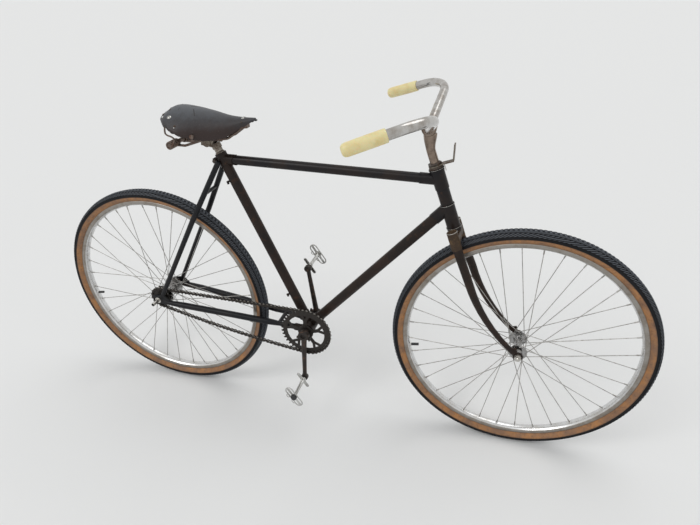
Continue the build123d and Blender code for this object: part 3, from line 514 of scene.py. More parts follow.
def tread_rubber(name, centre):
    """Near-black rubber of the tread with dust, and a painted grey-blue sheen on its raised parts that
    leaves the hollows dark as painted shade.
    """
    skin = Skin(name, centre=centre, Specular_IOR_Level=0.2)
    dust = skin.step(skin.noise(45, 5, 0.6), 0.38, 0.72)
    fine = skin.noise(2.2, 5, 0.7)
    # Rubber near the tread's full radius takes a painted grey-blue sheen; lower down it stays near black,
    # as painted shade in the hollows.
    high = skin.step(skin.plus(skin.radius(), fine, 0.8), wheel_radius - 2.6, wheel_radius)
    colour = skin.mix(dust, (0.006, 0.0062, 0.0075), (0.013, 0.013, 0.015))
    colour = skin.mix(high, colour, (0.112, 0.124, 0.144))
    skin.use("Base Color", colour)
    skin.rough(fine, 0.55, 0.85)
    skin.bump(fine, 0.12)


def tan_wall(name, centre):
    """Tan side wall: fine rings of cord, amber and brown clouds, and dirt towards the edges."""
    skin = Skin(name, centre=centre)
    r = skin.radius()
    rings = skin.math("SINE", skin.times(r, 2 * pi / 1.3))
    cloud = skin.step(skin.noise(38, 6, 0.66), 0.38, 0.62)
    stain = skin.step(skin.noise(9, 6, 0.7), 0.52, 0.74)
    outer = skin.step(skin.plus(r, skin.noise(5, 4), 4), 334, 339)
    colour = skin.mix(cloud, (0.405, 0.185, 0.062), (0.23, 0.122, 0.066))
    colour = skin.mix(stain, colour, (0.135, 0.072, 0.04))
    colour = skin.mix(outer, colour, (0.045, 0.028, 0.02))
    skin.use("Base Color", colour)
    skin.rough(stain, 0.5, 0.75)
    skin.bump(skin.plus(skin.times(rings, 0.5), skin.noise(1.5, 4)), 0.16)


def saddle_hide(name):
    """Worn black leather: worn polish with a painted bluish-grey sheen on top, reddish brown lower down,
    slits and a crack painted near black as their shade, and scuffs.
    """
    skin = Skin(name, Specular_IOR_Level=0.4)
    _, _, z = skin.axes()
    ragged = skin.times(skin.plus(skin.noise(16, 5, 0.65), -0.5), 30)
    skirt = skin.step(skin.plus(z, ragged), -22, -46)
    # Higher up, the cover turns from its base tone to a lighter bluish grey: partly worn polish, partly a
    # painted sheen of light from above.
    polish_and_sheen = skin.step(skin.plus(z, ragged), -22, 0)
    scuff = skin.step(skin.noise(4, 6, 0.75), 0.58, 0.7)
    grain = skin.cells(1.5)
    colour = skin.mix(polish_and_sheen, (0.034, 0.032, 0.035), (0.07, 0.076, 0.086))
    colour = skin.mix(skirt, colour, (0.026, 0.014, 0.012))
    colour = skin.mix(skin.times(scuff, 0.35), colour, (0.13, 0.11, 0.1))
    shaded_splits = None
    for start, end, width in leather_splits:
        gap = skin.plus(skin.near_line(start, end), skin.noise(3, 4), 1.2)
        gap = skin.step(gap, width / 2 + 1, width / 2 + 0.4)
        shaded_splits = gap if shaded_splits is None else skin.larger(shaded_splits, gap)
    # Slits and cracks are painted near black: painted shade inside the gaps.
    colour = skin.mix(shaded_splits, colour, (0.01, 0.008, 0.008))
    skin.use("Base Color", colour)
    skin.rough(skin.noise(16, 4), 0.36, 0.56)
    height = skin.plus(skin.times(grain, 0.35), skin.noise(3.5, 5, 0.65))
    skin.bump(skin.plus(height, shaded_splits, -1.5), 0.22)


def grip_plastic(name):
    """Yellowed cream plastic with soft stains and darker specks."""
    skin = Skin(name, Subsurface_Weight=0.12, Subsurface_Scale=0.01, Coat_Weight=0.15)
    stain = skin.step(skin.noise(22, 5, 0.6), 0.42, 0.72)
    specks = skin.step(skin.noise(1.8, 4, 0.7), 0.66, 0.74)
    colour = skin.mix(stain, (0.8, 0.7, 0.37), (0.7, 0.57, 0.25))
    colour = skin.mix(specks, colour, (0.5, 0.4, 0.2))
    skin.use("Base Color", colour)
    skin.rough(stain, 0.32, 0.5)
    skin.bump(skin.noise(4, 4), 0.12)


def greasy(name, colour, grime, roughness=0.45, metallic=0.7):
    """Dark steel under old grease and dust."""
    skin = Skin(name, Metallic=metallic)
    dirt = skin.step(skin.noise(5, 6, 0.7), 0.45, 0.62)
    fine = skin.noise(1.1, 4, 0.7)
    skin.use("Base Color", skin.mix(dirt, colour, grime))
    skin.use("Metallic", skin.between(dirt, metallic, 0.15))
    skin.rough(fine, roughness - 0.12, roughness + 0.1, dirt, 0.25)
    skin.bump(skin.plus(fine, dirt, 1.4), 0.12)


def rubber(name, colour, dusty):
    """Plain moulded rubber with dust."""
    skin = Skin(name)
    dust = skin.step(skin.noise(3, 5, 0.7), 0.45, 0.7)
    skin.use("Base Color", skin.mix(dust, colour, dusty))
    skin.rough(dust, 0.5, 0.8)
    skin.bump(skin.noise(0.8, 4), 0.08)


# Slits and a crack in the saddle's leather, in plan view from the saddle's top, with their widths; the
# leather is painted near black there as their shade
leather_splits = (((-29, 2), (-10, 13), 5), ((6, 11), (29, 18), 5), ((-15, -14), (0, -37), 1.8),
                  ((-64, -77), (-70, -76), 5), ((-52, -20), (-49, -32), 0.9))
enamel("main_enamel", (0.008, 0.0072, 0.0088), (0.0165, 0.0112, 0.0096), (0.04, 0.021, 0.013), 0.3, 0.22)
enamel("brown_enamel", (0.011, 0.0078, 0.0067), (0.024, 0.0136, 0.0094), (0.056, 0.026, 0.014), 0.6, 0.3)
enamel("rear_enamel", (0.007, 0.0078, 0.01), (0.0115, 0.011, 0.0125), (0.03, 0.018, 0.013), 0.2, 0.24)
enamel("crown_enamel", (0.028, 0.018, 0.013), (0.062, 0.038, 0.021), (0.15, 0.092, 0.042), 0.8, 0.34)
bare_steel("rusty_steel", (0.23, 0.2, 0.165), (0.085, 0.048, 0.028), 0.5)
bare_steel("bolt_steel", (0.085, 0.07, 0.06), (0.06, 0.032, 0.02), 0.5, 0.7)
bare_steel("spring_steel", (0.2, 0.155, 0.13), (0.11, 0.055, 0.035), 0.55, 0.7)
bare_steel("post_steel", (0.34, 0.31, 0.27), (0.15, 0.11, 0.08), 0.4, 0.85, 0.36)
bare_steel("arm_steel", (0.036, 0.03, 0.027), (0.085, 0.04, 0.021), 0.3, 0.5, 0.46)
plating("hub_steel", (0.38, 0.38, 0.38), (0.135, 0.125, 0.115), (0.055, 0.045, 0.04), 0.25, 0.16)
plating("bright_steel", (0.58, 0.57, 0.54), (0.3, 0.27, 0.24), (0.12, 0.085, 0.06), 0.2, 0.26)
bare_steel("spoke_steel", (0.47, 0.46, 0.44), (0.2, 0.165, 0.14), 0.3, 0.85, 0.34)
# The bars turn brown round their clamp: partly rust, partly a painted reflection of brown ground.
plating("bar_chrome", (0.54, 0.53, 0.515), (0.31, 0.28, 0.25), (0.14, 0.095, 0.07), 0.1, 0.12,
        bar_clamp)
plating("stem_chrome", (0.3, 0.235, 0.19), (0.12, 0.088, 0.068), (0.05, 0.033, 0.025), 0.5, 0.3)
plating("rim_chrome", (0.68, 0.685, 0.69), (0.52, 0.505, 0.48), (0.22, 0.17, 0.13), 0.05, 0.22)
plating("pedal_alloy", (0.58, 0.58, 0.565), (0.26, 0.25, 0.23), (0.1, 0.08, 0.07), 0.35, 0.2)
plating("rim_flank", (0.33, 0.31, 0.285), (0.235, 0.205, 0.175), (0.13, 0.095, 0.07), 0.2, 0.36)
greasy("chain_steel", (0.04, 0.035, 0.031), (0.02, 0.015, 0.012), 0.36, 0.8)
greasy("roller_steel", (0.42, 0.4, 0.37), (0.09, 0.07, 0.055), 0.3, 0.9)
greasy("ring_steel", (0.036, 0.031, 0.028), (0.018, 0.013, 0.01), 0.42, 0.75)
# The tread blocks' tops: black rubber painted a grey-blue sheen, with lighter dust.
rubber("tread_top", (0.07, 0.08, 0.097), (0.12, 0.122, 0.128))
rubber("black_rubber", (0.012, 0.012, 0.013), (0.05, 0.05, 0.05))
saddle_hide("saddle_hide")
grip_plastic("grip_cream")
for name, centre in wheels.items():
    tread_rubber(name + "_tread", centre)
    tan_wall(name + "_tan", centre)

# Each material's CAD nodes
node_skins = {
    "main_enamel": "head_tube top_tube",
    "brown_enamel": "down_tube seat_tube bottom_bracket_shell fork_blades",
    "rear_enamel": "chainstay_left chainstay_right seat_stay_left seat_stay_right stay_bridges "
                   "rear_fork_ends",
    "crown_enamel": "fork_crown",
    "bolt_steel": "seat_bolt headset_nut",
    "post_steel": "seat_post",
    "spring_steel": "saddle_frame saddle_springs",
    "rusty_steel": "saddle_clamp lamp_bracket",
    "saddle_hide": "saddle_cover",
    "bright_steel": "rear_axle axle_sleeve front_axle",
    "arm_steel": "brake_arm crank_right crank_left",
    "chain_steel": "chain",
    "stem_chrome": "stem",
    "bar_chrome": "handlebar",
    "grip_cream": "handlebar_grips",
    "ring_steel": "chainring crank_axle rear_sprocket",
    "pedal_alloy": "pedal_cage_right pedal_cage_left",
    "front_tread": "front_tyre",
    "rear_tread": "rear_tyre",
    "rim_chrome": "front_rim rear_rim",
    "hub_steel": "front_hub rear_hub",
    "spoke_steel": "front_spokes rear_spokes",
    "black_rubber": "front_valve rear_valve",
}
for material, names in node_skins.items():
    for name in names.split():
        mesh = nodes[name].data
        mesh.materials.clear()
        mesh.materials.append(palette[material])


# Tyres: a smooth carcass with tan walls, and rows of tread blocks on it
wall_half = [(10.6, 317.6), (11.2, 320.2), (13.4, 322.8), (16.6, 326.6), (19.3, 331), (20.6, 335)]
crown_half = [(20.7, 338.8), (19, 343.2), (15.6, 346.5), (11, 348.7), (6, 350), (0, 350.5)]
tan_spans = len(wall_half) - 1
tread_pitches = 190
tread_height = 2.4
tyre_steps = 220


def carcass_point(y):
    """Radius and outward lean of the smooth carcass at a distance across the tread."""
    sign = -1 if y < 0 else 1
    line = crown_half[::-1]
    for (y0, r0), (y1, r1) in zip(line, line[1:]):
        if abs(y) <= y1:
            share = (abs(y) - y0) / (y1 - y0)
            return r0 + (r1 - r0) * share, sign * atan2(r0 - r1, y1 - y0)


def tread_block(shape, angle, width, low, high, slant):
    """One block of the tread: low to high across, width round the tyre, slanted like a chevron."""
    base = []
    top = []
    for y, turn, inset in ((low, -0.5, 1), (high, -0.5, -1), (high, 0.5, -1), (low, 0.5, 1)):
        r, lean = carcass_point(y)
        shift = slant * (abs(y) - 10) / wheel_radius
        a = angle + turn * width / wheel_radius + shift
        base.append((r * cos(a), y, r * sin(a)))
        y_top = y + inset * 0.12 * (high - low) + tread_height * sin(lean)
        a_top = angle + turn * width * 0.74 / wheel_radius + shift
        r_top = r + tread_height * cos(lean)
        top.append((r_top * cos(a_top), y_top, r_top * sin(a_top)))
    shape.add(base + top, [(0, 1, 5, 4), (1, 2, 6, 5), (2, 3, 7, 6), (3, 0, 4, 7), (4, 5, 6, 7)])
    shape.skins[-1] = 1


def make_tyre(name, centre):
    """A tyre's carcass and its tread."""
    body = name + "_wheel"
    tread = name + "_tread"
    half = wall_half + crown_half
    profile = half + [(-y, r) for y, r in half[-2::-1]]
    skins = [1] * tan_spans + [0] * 2 * len(crown_half) + [1] * tan_spans
    carcass = Shape()
    carcass.turn(profile, moved(centre), tyre_steps, skins=skins)
    piece(name + "_tyre_carcass", carcass, body, tread + " " + name + "_tan", name + "_tyre", 60)
    blocks = Shape()
    pitch = 2 * pi * wheel_radius / tread_pitches
    for a in angles(tread_pitches):
        for side in (-1, 1):
            offset = side * 0.25
            outer = sorted((side * 12.2, side * 19.2))
            inner = sorted((side * 4, side * 11.2))
            tread_block(blocks, a + offset * pitch / wheel_radius, pitch * 0.56, *outer, 3.4)
            tread_block(blocks, a + (offset + 0.5) * pitch / wheel_radius, pitch * 0.54, *inner, 5)
        tread_block(blocks, a, pitch * 0.58, -2.8, 2.8, 0)
    blocks.points = [centre + point for point in blocks.points]
    piece(name + "_tyre_tread", blocks, body, tread + " tread_top", "", 30)


# Rims: a rounded well with hooked edges, and an eyelet round each nipple
rim_half = [(0, 304), (4, 304.2), (7, 305.2), (9.4, 306.9), (11.4, 308.6), (12.9, 310.2), (13.4, 312.6),
            (13.5, 316.8), (13.1, 319.2), (12.2, 320.4), (11.3, 319.9), (10.9, 317.8)]
well_spans = 4
spoke_count = 36
spoke_phase = 6
valve_angle = radians(-169)
eyelet_r = 304.5
collar_r = 305.0


def make_rim(name, centre):
    """One wheel's rim."""
    profile = [(-y, r) for y, r in rim_half[::-1]] + rim_half[1:]
    flank_spans = len(rim_half) - 1 - well_spans
    skins = [1] * flank_spans + [0] * 2 * well_spans + [1] * flank_spans + [0]
    shape = Shape()
    shape.turn(profile, moved(centre), tyre_steps, loop=True, skins=skins)
    for k in range(spoke_count):
        a = 2 * pi * k / spoke_count + radians(spoke_phase)
        way = Vector((cos(a), 0, sin(a)))
        side = 1 if k % 2 else -1
        spot = facing(centre + way * eyelet_r + side_way * side * 2, -way)
        shape.turn([(0, 4), (0.8, 3.8), (1.3, 3.2), (1.3, 2.2), (0.4, 1.9)], spot, 12)
    way = Vector((cos(valve_angle), 0, sin(valve_angle)))
    collar = [(0, 0), (0, 6.6), (1.2, 6.6), (1.7, 5.3), (3.8, 5.2), (4.4, 4.4), (4.4, 0)]
    shape.turn(collar, facing(centre + way * collar_r, -way), 14)
    body = name + "_wheel"
    piece(name + "_rim_chrome", shape, body, "rim_chrome rim_flank", name + "_rim", 50)


for name, centre in wheels.items():
    make_tyre(name, centre)
    make_rim(name, centre)


# Chain: the CAD's loop, link by link
chain_pitch = 12.7
chain_line = 43
chain_sag = 9
ring_teeth = 38
cog_teeth = 16
ring_pitch_r = chain_pitch / (2 * sin(pi / ring_teeth))
cog_pitch_r = chain_pitch / (2 * sin(pi / cog_teeth))
cog_at = (-rear_axle_back, axle_rise)
centres = hypot(*cog_at)
lean_back = atan2(axle_rise, -rear_axle_back)
top_normal = lean_back - pi / 2 + asin((ring_pitch_r - cog_pitch_r) / centres)
hang_r = centres ** 2 / (8 * chain_sag)
to_ring = hang_r - ring_pitch_r
to_cog = hang_r - cog_pitch_r
along = (to_ring ** 2 - to_cog ** 2 + centres ** 2) / (2 * centres)
height = sqrt(to_ring ** 2 - along ** 2)
hang_at = (along * cos(lean_back) + height * sin(lean_back),
           along * sin(lean_back) - height * cos(lean_back))
ring_low = atan2(-hang_at[1], -hang_at[0])
cog_low = atan2(cog_at[1] - hang_at[1], cog_at[0] - hang_at[0])
top_length = -cog_at[0] * sin(top_normal) + cog_at[1] * cos(top_normal)
cog_length = cog_pitch_r * (cog_low + 2 * pi - top_normal)
hang_length = hang_r * (ring_low - cog_low)
ring_length = ring_pitch_r * (top_normal - ring_low)
loop_length = top_length + cog_length + hang_length + ring_length
links = 2 * round(loop_length / chain_pitch / 2)
link_step = loop_length / links
first_pin = loop_length - ring_pitch_r * top_normal


def chain_point(s):
    """A point s along the chain's centre line from the chainring's top."""
    s = s % loop_length
    if s < top_length:
        return (ring_pitch_r * cos(top_normal) - s * sin(top_normal),
                ring_pitch_r * sin(top_normal) + s * cos(top_normal))
    s -= top_length
    if s < cog_length:
        a = top_normal + s / cog_pitch_r
        return cog_at[0] + cog_pitch_r * cos(a), cog_at[1] + cog_pitch_r * sin(a)
    s -= cog_length
    if s < hang_length:
        a = cog_low + s / hang_r
        return hang_at[0] + hang_r * cos(a), hang_at[1] + hang_r * sin(a)
    a = ring_low + (s - hang_length) / ring_pitch_r
    return ring_pitch_r * cos(a), ring_pitch_r * sin(a)


def plate_outline(length, lobe_r, waist):
    """A chain plate round two pins: two lobes and a waist."""
    outline = []
    for centre, start in ((length, -90), (0, 90)):
        for k in range(7):
            a = radians(start + 30 * k)
            outline.append((centre + lobe_r * cos(a), lobe_r * sin(a)))
        outline.append((length / 2, waist if centre else -waist))
    return outline


def make_chain():
    """Every link, with its rollers and the ends of its pins."""
    plates = Shape()
    rollers = Shape()
    for k in range(links):
        x0, z0 = chain_point(first_pin + k * link_step)
        x1, z1 = chain_point(first_pin + (k + 1) * link_step)
        lean = atan2(z1 - z0, x1 - x0)
        spot = moved(at(x0, -chain_line, z0)) @ Matrix.Rotation(-lean, 4, "Y")
        outline = plate_outline(hypot(x1 - x0, z1 - z0), 4.2 if k % 2 else 4.4, 1.9 if k % 2 else 2.1)
        low, high = (2.15, 3.1) if k % 2 else (3.25, 4.2)
        for side in (-1, 1):
            plates.prism(outline, side * low, side * high, spot)
            plates.turn([(side * 4.2, 1.9), (side * 4.7, 1.7), (side * 4.8, 0)], spot, 10)
        rollers.turn(mirrored([(-2.1, 3.5), (-1.9, 3.85)]), spot, 14)
    piece("chain_plates", plates, "frame", "chain_steel", "chain", 40)
    piece("chain_rollers", rollers, "frame", "roller_steel", "", 40)


make_chain()


# Saddle: a worn leather cover, drawn smooth through the CAD's sections
saddle_table = (  # x, half width, top, lower edge, shoulder as a share of the height
    (-97, 49, -7.9, -22.6, 0.31),
    (-73, 73, 4.8, -34.6, 0.19),
    (-30, 81, 3.4, -53.5, 0.16),
    (25, 59, -4, -68, 0.24),
    (75, 41, -14, -64.3, 0.36),
    (115, 21, -16.9, -41.9, 0.5),
    (153, 5, -16.5, -22.5, 0.5),
)
cover_rows = 120
cover_columns = 96
leather = 4.2
shoulder_window = 0.11


@lru_cache(maxsize=None)
def saddle_values(x):
    """Half width, top, lower edge and shoulder share at x, on a smooth curve through the table."""
    table = saddle_table
    last = len(table) - 1
    k = 0
    while k < last - 1 and x > table[k + 1][0]:
        k += 1
    x0, x1 = table[k][0], table[k + 1][0]
    t = (x - x0) / (x1 - x0)
    values = []
    for n in range(1, 5):
        def slope(j):
            low, high = max(j - 1, 0), min(j + 1, last)
            return (table[high][n] - table[low][n]) / (table[high][0] - table[low][0])
        a, b = table[k][n], table[k + 1][n]
        da, db = slope(k) * (x1 - x0), slope(k + 1) * (x1 - x0)
        values.append(a * (2 * t ** 3 - 3 * t ** 2 + 1) + da * (t ** 3 - 2 * t ** 2 + t)
                      + b * (3 * t ** 2 - 2 * t ** 3) + db * (t ** 3 - t ** 2))
    return values


def section_point(x, share):
    """A point of one section: an arc over the top from shoulder to shoulder, above upright skirts."""
    half, top, low, shoulder_share = saddle_values(x)
    shoulder = low + (top - low) * shoulder_share
    rise = top - shoulder
    r = (half ** 2 + rise ** 2) / (2 * rise)
    spread = asin(min(1, half / r))
    arc = r * (spread if rise <= half else pi - spread)
    run = abs(share) * (arc + shoulder - low)
    side = -1 if share < 0 else 1
    if run <= arc:
        return Vector((x, side * r * sin(run / r), top - r + r * cos(run / r)))
    return Vector((x, side * half, shoulder - run + arc))


def cover_point(x, share, shrink=1):
    """A point of the cover: share runs from -1, the right lower edge, over the top to 1, the left one."""
    window = min(shoulder_window, 1 - abs(share))
    spot = Vector((0, 0, 0))
    for k in range(-3, 4):
        spot += section_point(x, share + window * k / 3) / 7
    _, top, low, _ = saddle_values(x)
    middle = (top + low) / 2
    wave = 0.5 * sin(x / 9.0 + 3 * share) * sin(5 * share + x / 23) + 0.35 * sin(x / 5.3 - 7 * share)
    edge = max(0, abs(share) - 0.9) * 10
    worn = 1.2 * sin(x / 4.1 + 2 * share) + 0.9 * sin(x / 2.3) + 4.5 * max(0, 1 - abs(x + 67) / 7)
    scale = shrink * (1 - 0.006 * abs(wave))
    return Vector((x, spot.y * scale, middle + (spot.z - middle) * scale + edge * worn * 0.8))


def cover_rows_at():
    """Rows of the cover from the tail to the nose, closed with small rounded ends."""
    tail, nose = saddle_table[0][0], saddle_table[-1][0]
    rows = [(tail, 0.55), (tail + 0.3, 0.8), (tail + 1.2, 0.93), (tail + 3, 0.985)]
    for k in range(1, cover_rows):
        rows.append((tail + (nose - tail) * (k / cover_rows), 1))
    rows += [(nose - 1.5, 0.97), (nose - 0.6, 0.85), (nose - 0.1, 0.55)]
    return rows


def make_cover():
    """The leather cover with its thickness."""
    shape = Shape()
    rows = cover_rows_at()
    points = []
    for x, shrink in rows:
        for k in range(cover_columns + 1):
            points.append(cover_point(x, 2 * k / cover_columns - 1, shrink))
    wide = cover_columns + 1
    faces = []
    for r in range(len(rows) - 1):
        for c in range(cover_columns):
            faces.append((r * wide + c, r * wide + c + 1, (r + 1) * wide + c + 1, (r + 1) * wide + c))
    faces.append(tuple(range(wide))[::-1])
    faces.append(tuple((len(rows) - 1) * wide + c for c in range(wide)))
    shape.add(points, faces)
    cover = piece("saddle_leather", shape, "frame", "saddle_hide", "saddle_cover", 60)
    thick = cover.modifiers.new("thickness", "SOLIDIFY")
    thick.thickness = leather * mm
    thick.offset = -1


make_cover()


def rivet(shape, place, way, r, rise, skin=0):
    """A domed rivet head, sunk a little into what it holds."""
    profile = [(-1, r), (0.2, r), (rise * 0.55, r * 0.82), (rise * 0.88, r * 0.45), (rise, 0)]
    shape.turn(profile, facing(place, way), 16, skin=skin)


def cover_way(x, share):
    """The cover's outward direction at a point of it."""
    here = cover_point(x, share)
    ahead = cover_point(x + 0.5, share) - here
    along_row = cover_point(x, share + 0.01) - here
    way = ahead.cross(along_row).normalized()
    return way if way.z > 0 or abs(share) > 0.6 and way.y * share > 0 else -way


def make_rivets():
    """Rivets through the tail, the flanks and the nose of the cover, some of them bright; the bright heads
    also stand for painted glints, and the one on the nose is only a painted glint.
    """
    heads = Shape()
    # Bright heads sit where the leather shows white spots: partly plated rivets, partly painted glints.
    table = (  # x, share from the middle, radius, rise, 0 for rusty or 1 for bright
        (-91, 0, 4.4, 2.2, 0), (-63, 0.635, 6, 2.4, 1), (-87, 0.745, 3, 1.6, 1),
        (-92, 0.62, 4.2, 2, 0), (-75, 0.35, 3.2, 1.4, 0), (-40, 0.79, 3.2, 1.4, 0),
        (-41, 0.84, 1.8, 1, 1), (120, 0.575, 3, 1.4, 0), (119, 0.15, 4, 1.6, 1),
    )
    for x, share, r, rise, bright in table:
        for side in (-1, 1) if share else (1,):
            rivet(heads, cover_point(x, side * share), cover_way(x, side * share), r, rise, bright)
    piece("saddle_rivets", heads, "frame", "bolt_steel pedal_alloy")


make_rivets()


# Springs: a wound coil on each half of the cross rod, and the wire up to the cantle
spring_spot = Vector((-81, 0, -90))
coil_start = 13
coil_end = 57
coil_turns = 8.5
coil_wire_r = 2.3
coil_centre_r = 8.6
spring_rise = [(13, 52, 8), (17, 50.5, 17), (9, 50, 23.5), (-4, 49, 27), (-10, 47.5, 33), (-9, 45.5, 48),
               (-5.5, 44, 67), (-4, 43.5, 70.5)]


def make_springs():
    """Both springs, each one wire from its inner end to the cantle."""
    shape = Shape()
    for side in (-1, 1):
        line = []
        steps = int(coil_turns * 20)
        for k in range(steps + 1):
            a = 2 * pi * coil_turns * k / steps + pi
            y = coil_start + coil_wire_r + (coil_end - coil_start - 2 * coil_wire_r) * k / steps
            line.append(spring_spot + Vector((coil_centre_r * cos(a), side * y, coil_centre_r * sin(a))))
        rise = [line[-1]]
        for x, y, z in spring_rise:
            rise.append(spring_spot + Vector((x, side * y, z)))
        line += smooth_line(rise, 6)[1:]
        shape.tube(line, coil_wire_r, 10)
    piece("spring_wire", shape, "frame", "spring_steel", "saddle_springs", 50)


make_springs()


# Grips: fat sleeves of cream plastic with rounded outer ends and a rolled inner edge
grip_length = 92
bar_end = (-115.2, 292.2, 3.4)
bar_corner = (65, 238.4)
grip_profile = [(0, 0), (0, 5), (0.5, 8), (1.8, 10.4), (4, 12.3), (7.5, 13.6), (12, 14.2), (40, 14.25),
                (80, 14.25), (87, 14.2), (90.2, 13.9), (91.6, 13.2), (grip_length, 12.2), (91.6, 11.2)]


def make_grips():
    """Both grips, each from the bars' end towards their corner."""
    shape = Shape()
    corner_up = bar_clamp_up + 63.1
    for side in (-1, 1):
        start = Vector((bar_end[0], side * bar_end[1], corner_up + bar_end[2]))
        corner = Vector((bar_corner[0], side * bar_corner[1], corner_up))
        shape.turn(grip_profile, bar_frame @ facing(start, (corner - start).normalized()), 48)
    piece("grips", shape, "fork", "grip_cream", "handlebar_grips", 60)


make_grips()


# Headset: a knurled adjusting cup and a hexagon lock nut, and bright rings at the lug edges
def make_headset():
    """The turning parts of the headset."""
    shape = Shape()
    bore = 12.75
    rib_count = 40
    upright = steer @ facing((0, 0, adjuster_up), (0, 0, 1))
    cup = [(0, bore), (0, 17), (0.8, 18), (2.4, 18), (3.2, 17.2), (5, 16.4), (6, 15.8), (6, bore)]
    shape.turn(cup, upright, 40)
    for a in angles(rib_count):
        rib = [Vector((17.4 * cos(a), 0.4, 17.4 * sin(a))), Vector((17.6 * cos(a), 3, 17.6 * sin(a)))]
        shape.tube(rib, 0.7, 5, upright)
    top = steer @ facing((0, 0, locknut_up), (0, 0, 1))
    nut(shape, top, 29.4, 0, 6, bore)
    tab_top = adjuster_up + 6
    tab = [(16.5, 0), (19.8, 0), (20.9, -1.2), (20.9, -18.5), (22.2, -17), (22.2, -0.6), (20.2, 1.2),
           (16.5, 1.2)]
    shape.prism([(x, tab_top + z) for x, z in tab], -2.5, 2.5, steer, 1)
    piece("headset_nuts", shape, "fork", "bolt_steel bright_steel", "headset_nut", 30)


make_headset()


def ring_on(shape, place, r, wire_r):
    """A thin wire ring about the place's Y axis."""
    profile = []
    for a in angles(8):
        profile.append((wire_r * sin(a), r + wire_r * cos(a)))
    shape.turn(profile, place, 48, loop=True)


def make_bright_rings():
    """Worn bright edges at the head lugs, and on the fork's leg sockets."""
    head_rings = Shape()
    for up, r in ((head_bottom + 62, 18.4), (head_bottom, 19.5), (head_top + 7, 19.5)):
        ring_on(head_rings, steer @ facing((0, 0, up - 0.6), (0, 0, 1)), r - 0.45, 0.6)
    piece("head_rings", head_rings, "frame", "bright_steel", "", 60)
    leg_rings = Shape()
    for side in (-1, 1):
        top = crown_bottom_up + 35
        ring_on(leg_rings, steer @ facing((0, side * 40, top - 0.5), (0, 0, 1)), 13.2, 0.7)
    piece("leg_rings", leg_rings, "fork", "bright_steel", "", 60)


make_bright_rings()


# Axles: threaded rods with cones and hexagon nuts
axle_r = 4.75
thread_pitch = 1.0
thread_depth = 0.45


def thread(low, high):
    """A profile that runs over the crests and roots of an axle's thread."""
    profile = []
    count = int((high - low) / thread_pitch)
    for k in range(count):
        y = low + (high - low) * k / count
        profile.append((y, axle_r - thread_depth))
        profile.append((y + thread_pitch * 0.5, axle_r))
    profile.append((high, axle_r - thread_depth))
    return profile


def make_axles():
    """Both axles with their nuts."""
    front = Shape()
    reach = 67
    place = moved(front_axle)
    front.turn([(-reach, 0)] + thread(-reach, -48) + thread(48, reach) + [(reach, 0)], place, 24)
    for side in (-1, 1):
        spot = place @ Matrix.Rotation(0 if side > 0 else pi, 4, "Z")
        front.turn([(42, 4.7), (42, 6.2), (44, 8), (48, 8), (48, 4.7)], spot, 24)
        front.turn([(53, 4.7), (53, 9.4), (54.4, 9.4), (54.4, 4.7)], spot, 28)
        nut(front, spot, 16.5, 54.4, 62, 4.6)
    piece("front_axle_parts", front, "fork", "bright_steel", "front_axle", 35)
    rear = Shape()
    place = moved(rear_axle)
    rear.turn([(-70, 0)] + thread(-70, -56) + thread(56, 75) + [(75, 0)], place, 24)
    rear.turn([(49.6, 4.7), (49.6, 7.5), (51.6, 10), (56, 10), (56, 4.7)], place, 28)
    rear.turn([(-56, 4.7), (-56, 8), (-51, 8), (-51, 4.7)], place, 28)
    rear.turn([(61, 4.7), (61, 9.4), (62.4, 9.4), (62.4, 4.7)], place, 28)
    nut(rear, place, 16.5, 62.4, 70, 4.6)
    piece("rear_axle_parts", rear, "frame", "bright_steel", "rear_axle", 35)


make_axles()


def make_seat_bolt():
    """The seat lug's pinch bolt: a hexagon head, a nut and washers."""
    shape = Shape()
    centre = cluster + up_seat * 4 + back * 21
    for side in (-1, 1):
        spot = facing(centre, side_way * side, 10)
        shape.turn([(9, 0), (9, 6.6), (10.2, 6.6), (10.2, 0)], spot, 24)
        nut(shape, spot, 10.6, 10.2, 15.6, 0)
        shape.turn([(15.6, 3.6), (16, 3.4), (16, 0)], spot, 16)
    piece("seat_bolt_heads", shape, "frame", "bolt_steel", "seat_bolt", 35)


make_seat_bolt()

# Stem: a quill that widens smoothly into the barrel round the bars
stack_top = locknut_up + 6


def make_stem():
    """The stem as one forging."""
    shape = Shape()
    flare_up = stack_top + 30
    shape.tube([(0, 0, head_top - 60), (0, 0, flare_up)], 11.1, 40, bar_frame)
    neck = []
    sizes = []
    for k in range(13):
        t = k / 12
        ease = t * t * (3 - 2 * t)
        neck.append((10.4 * t ** 1.4, 0, flare_up + (bar_clamp_up - 13.2 - flare_up) * t))
        sizes.append(11.1 + 5.3 * ease)
    shape.tube(neck, sizes, 40, bar_frame)
    cast(piece("stem_forging", shape, "fork", "stem_chrome", "stem"), 1.1, 6)
    barrel = Shape()
    flank = [(-21.5, 12.8), (-21.5, 14.4), (-19.5, 16.6), (-15, 17.8)]
    barrel.turn(mirrored(flank), bar_frame @ moved((bar_clamp_ahead, 0, bar_clamp_up)), 56, loop=True)
    piece("stem_barrel", barrel, "fork", "stem_chrome", "", 60)


make_stem()

# Cranks, each a forging with its cotter, and the pedals
crank_plane = 59
crank_length = 165
pedal_turn = 56
crank_sides = {"right": (-1, -92.5), "left": (1, 97)}
cotter_at = 11


def crank_frame(side, angle):
    """Along the arm, to the left and square to both, from the middle of the crank's boss."""
    return moved(at(0, side * crank_plane, 0)) @ Matrix.Rotation(-radians(angle), 4, "Y")


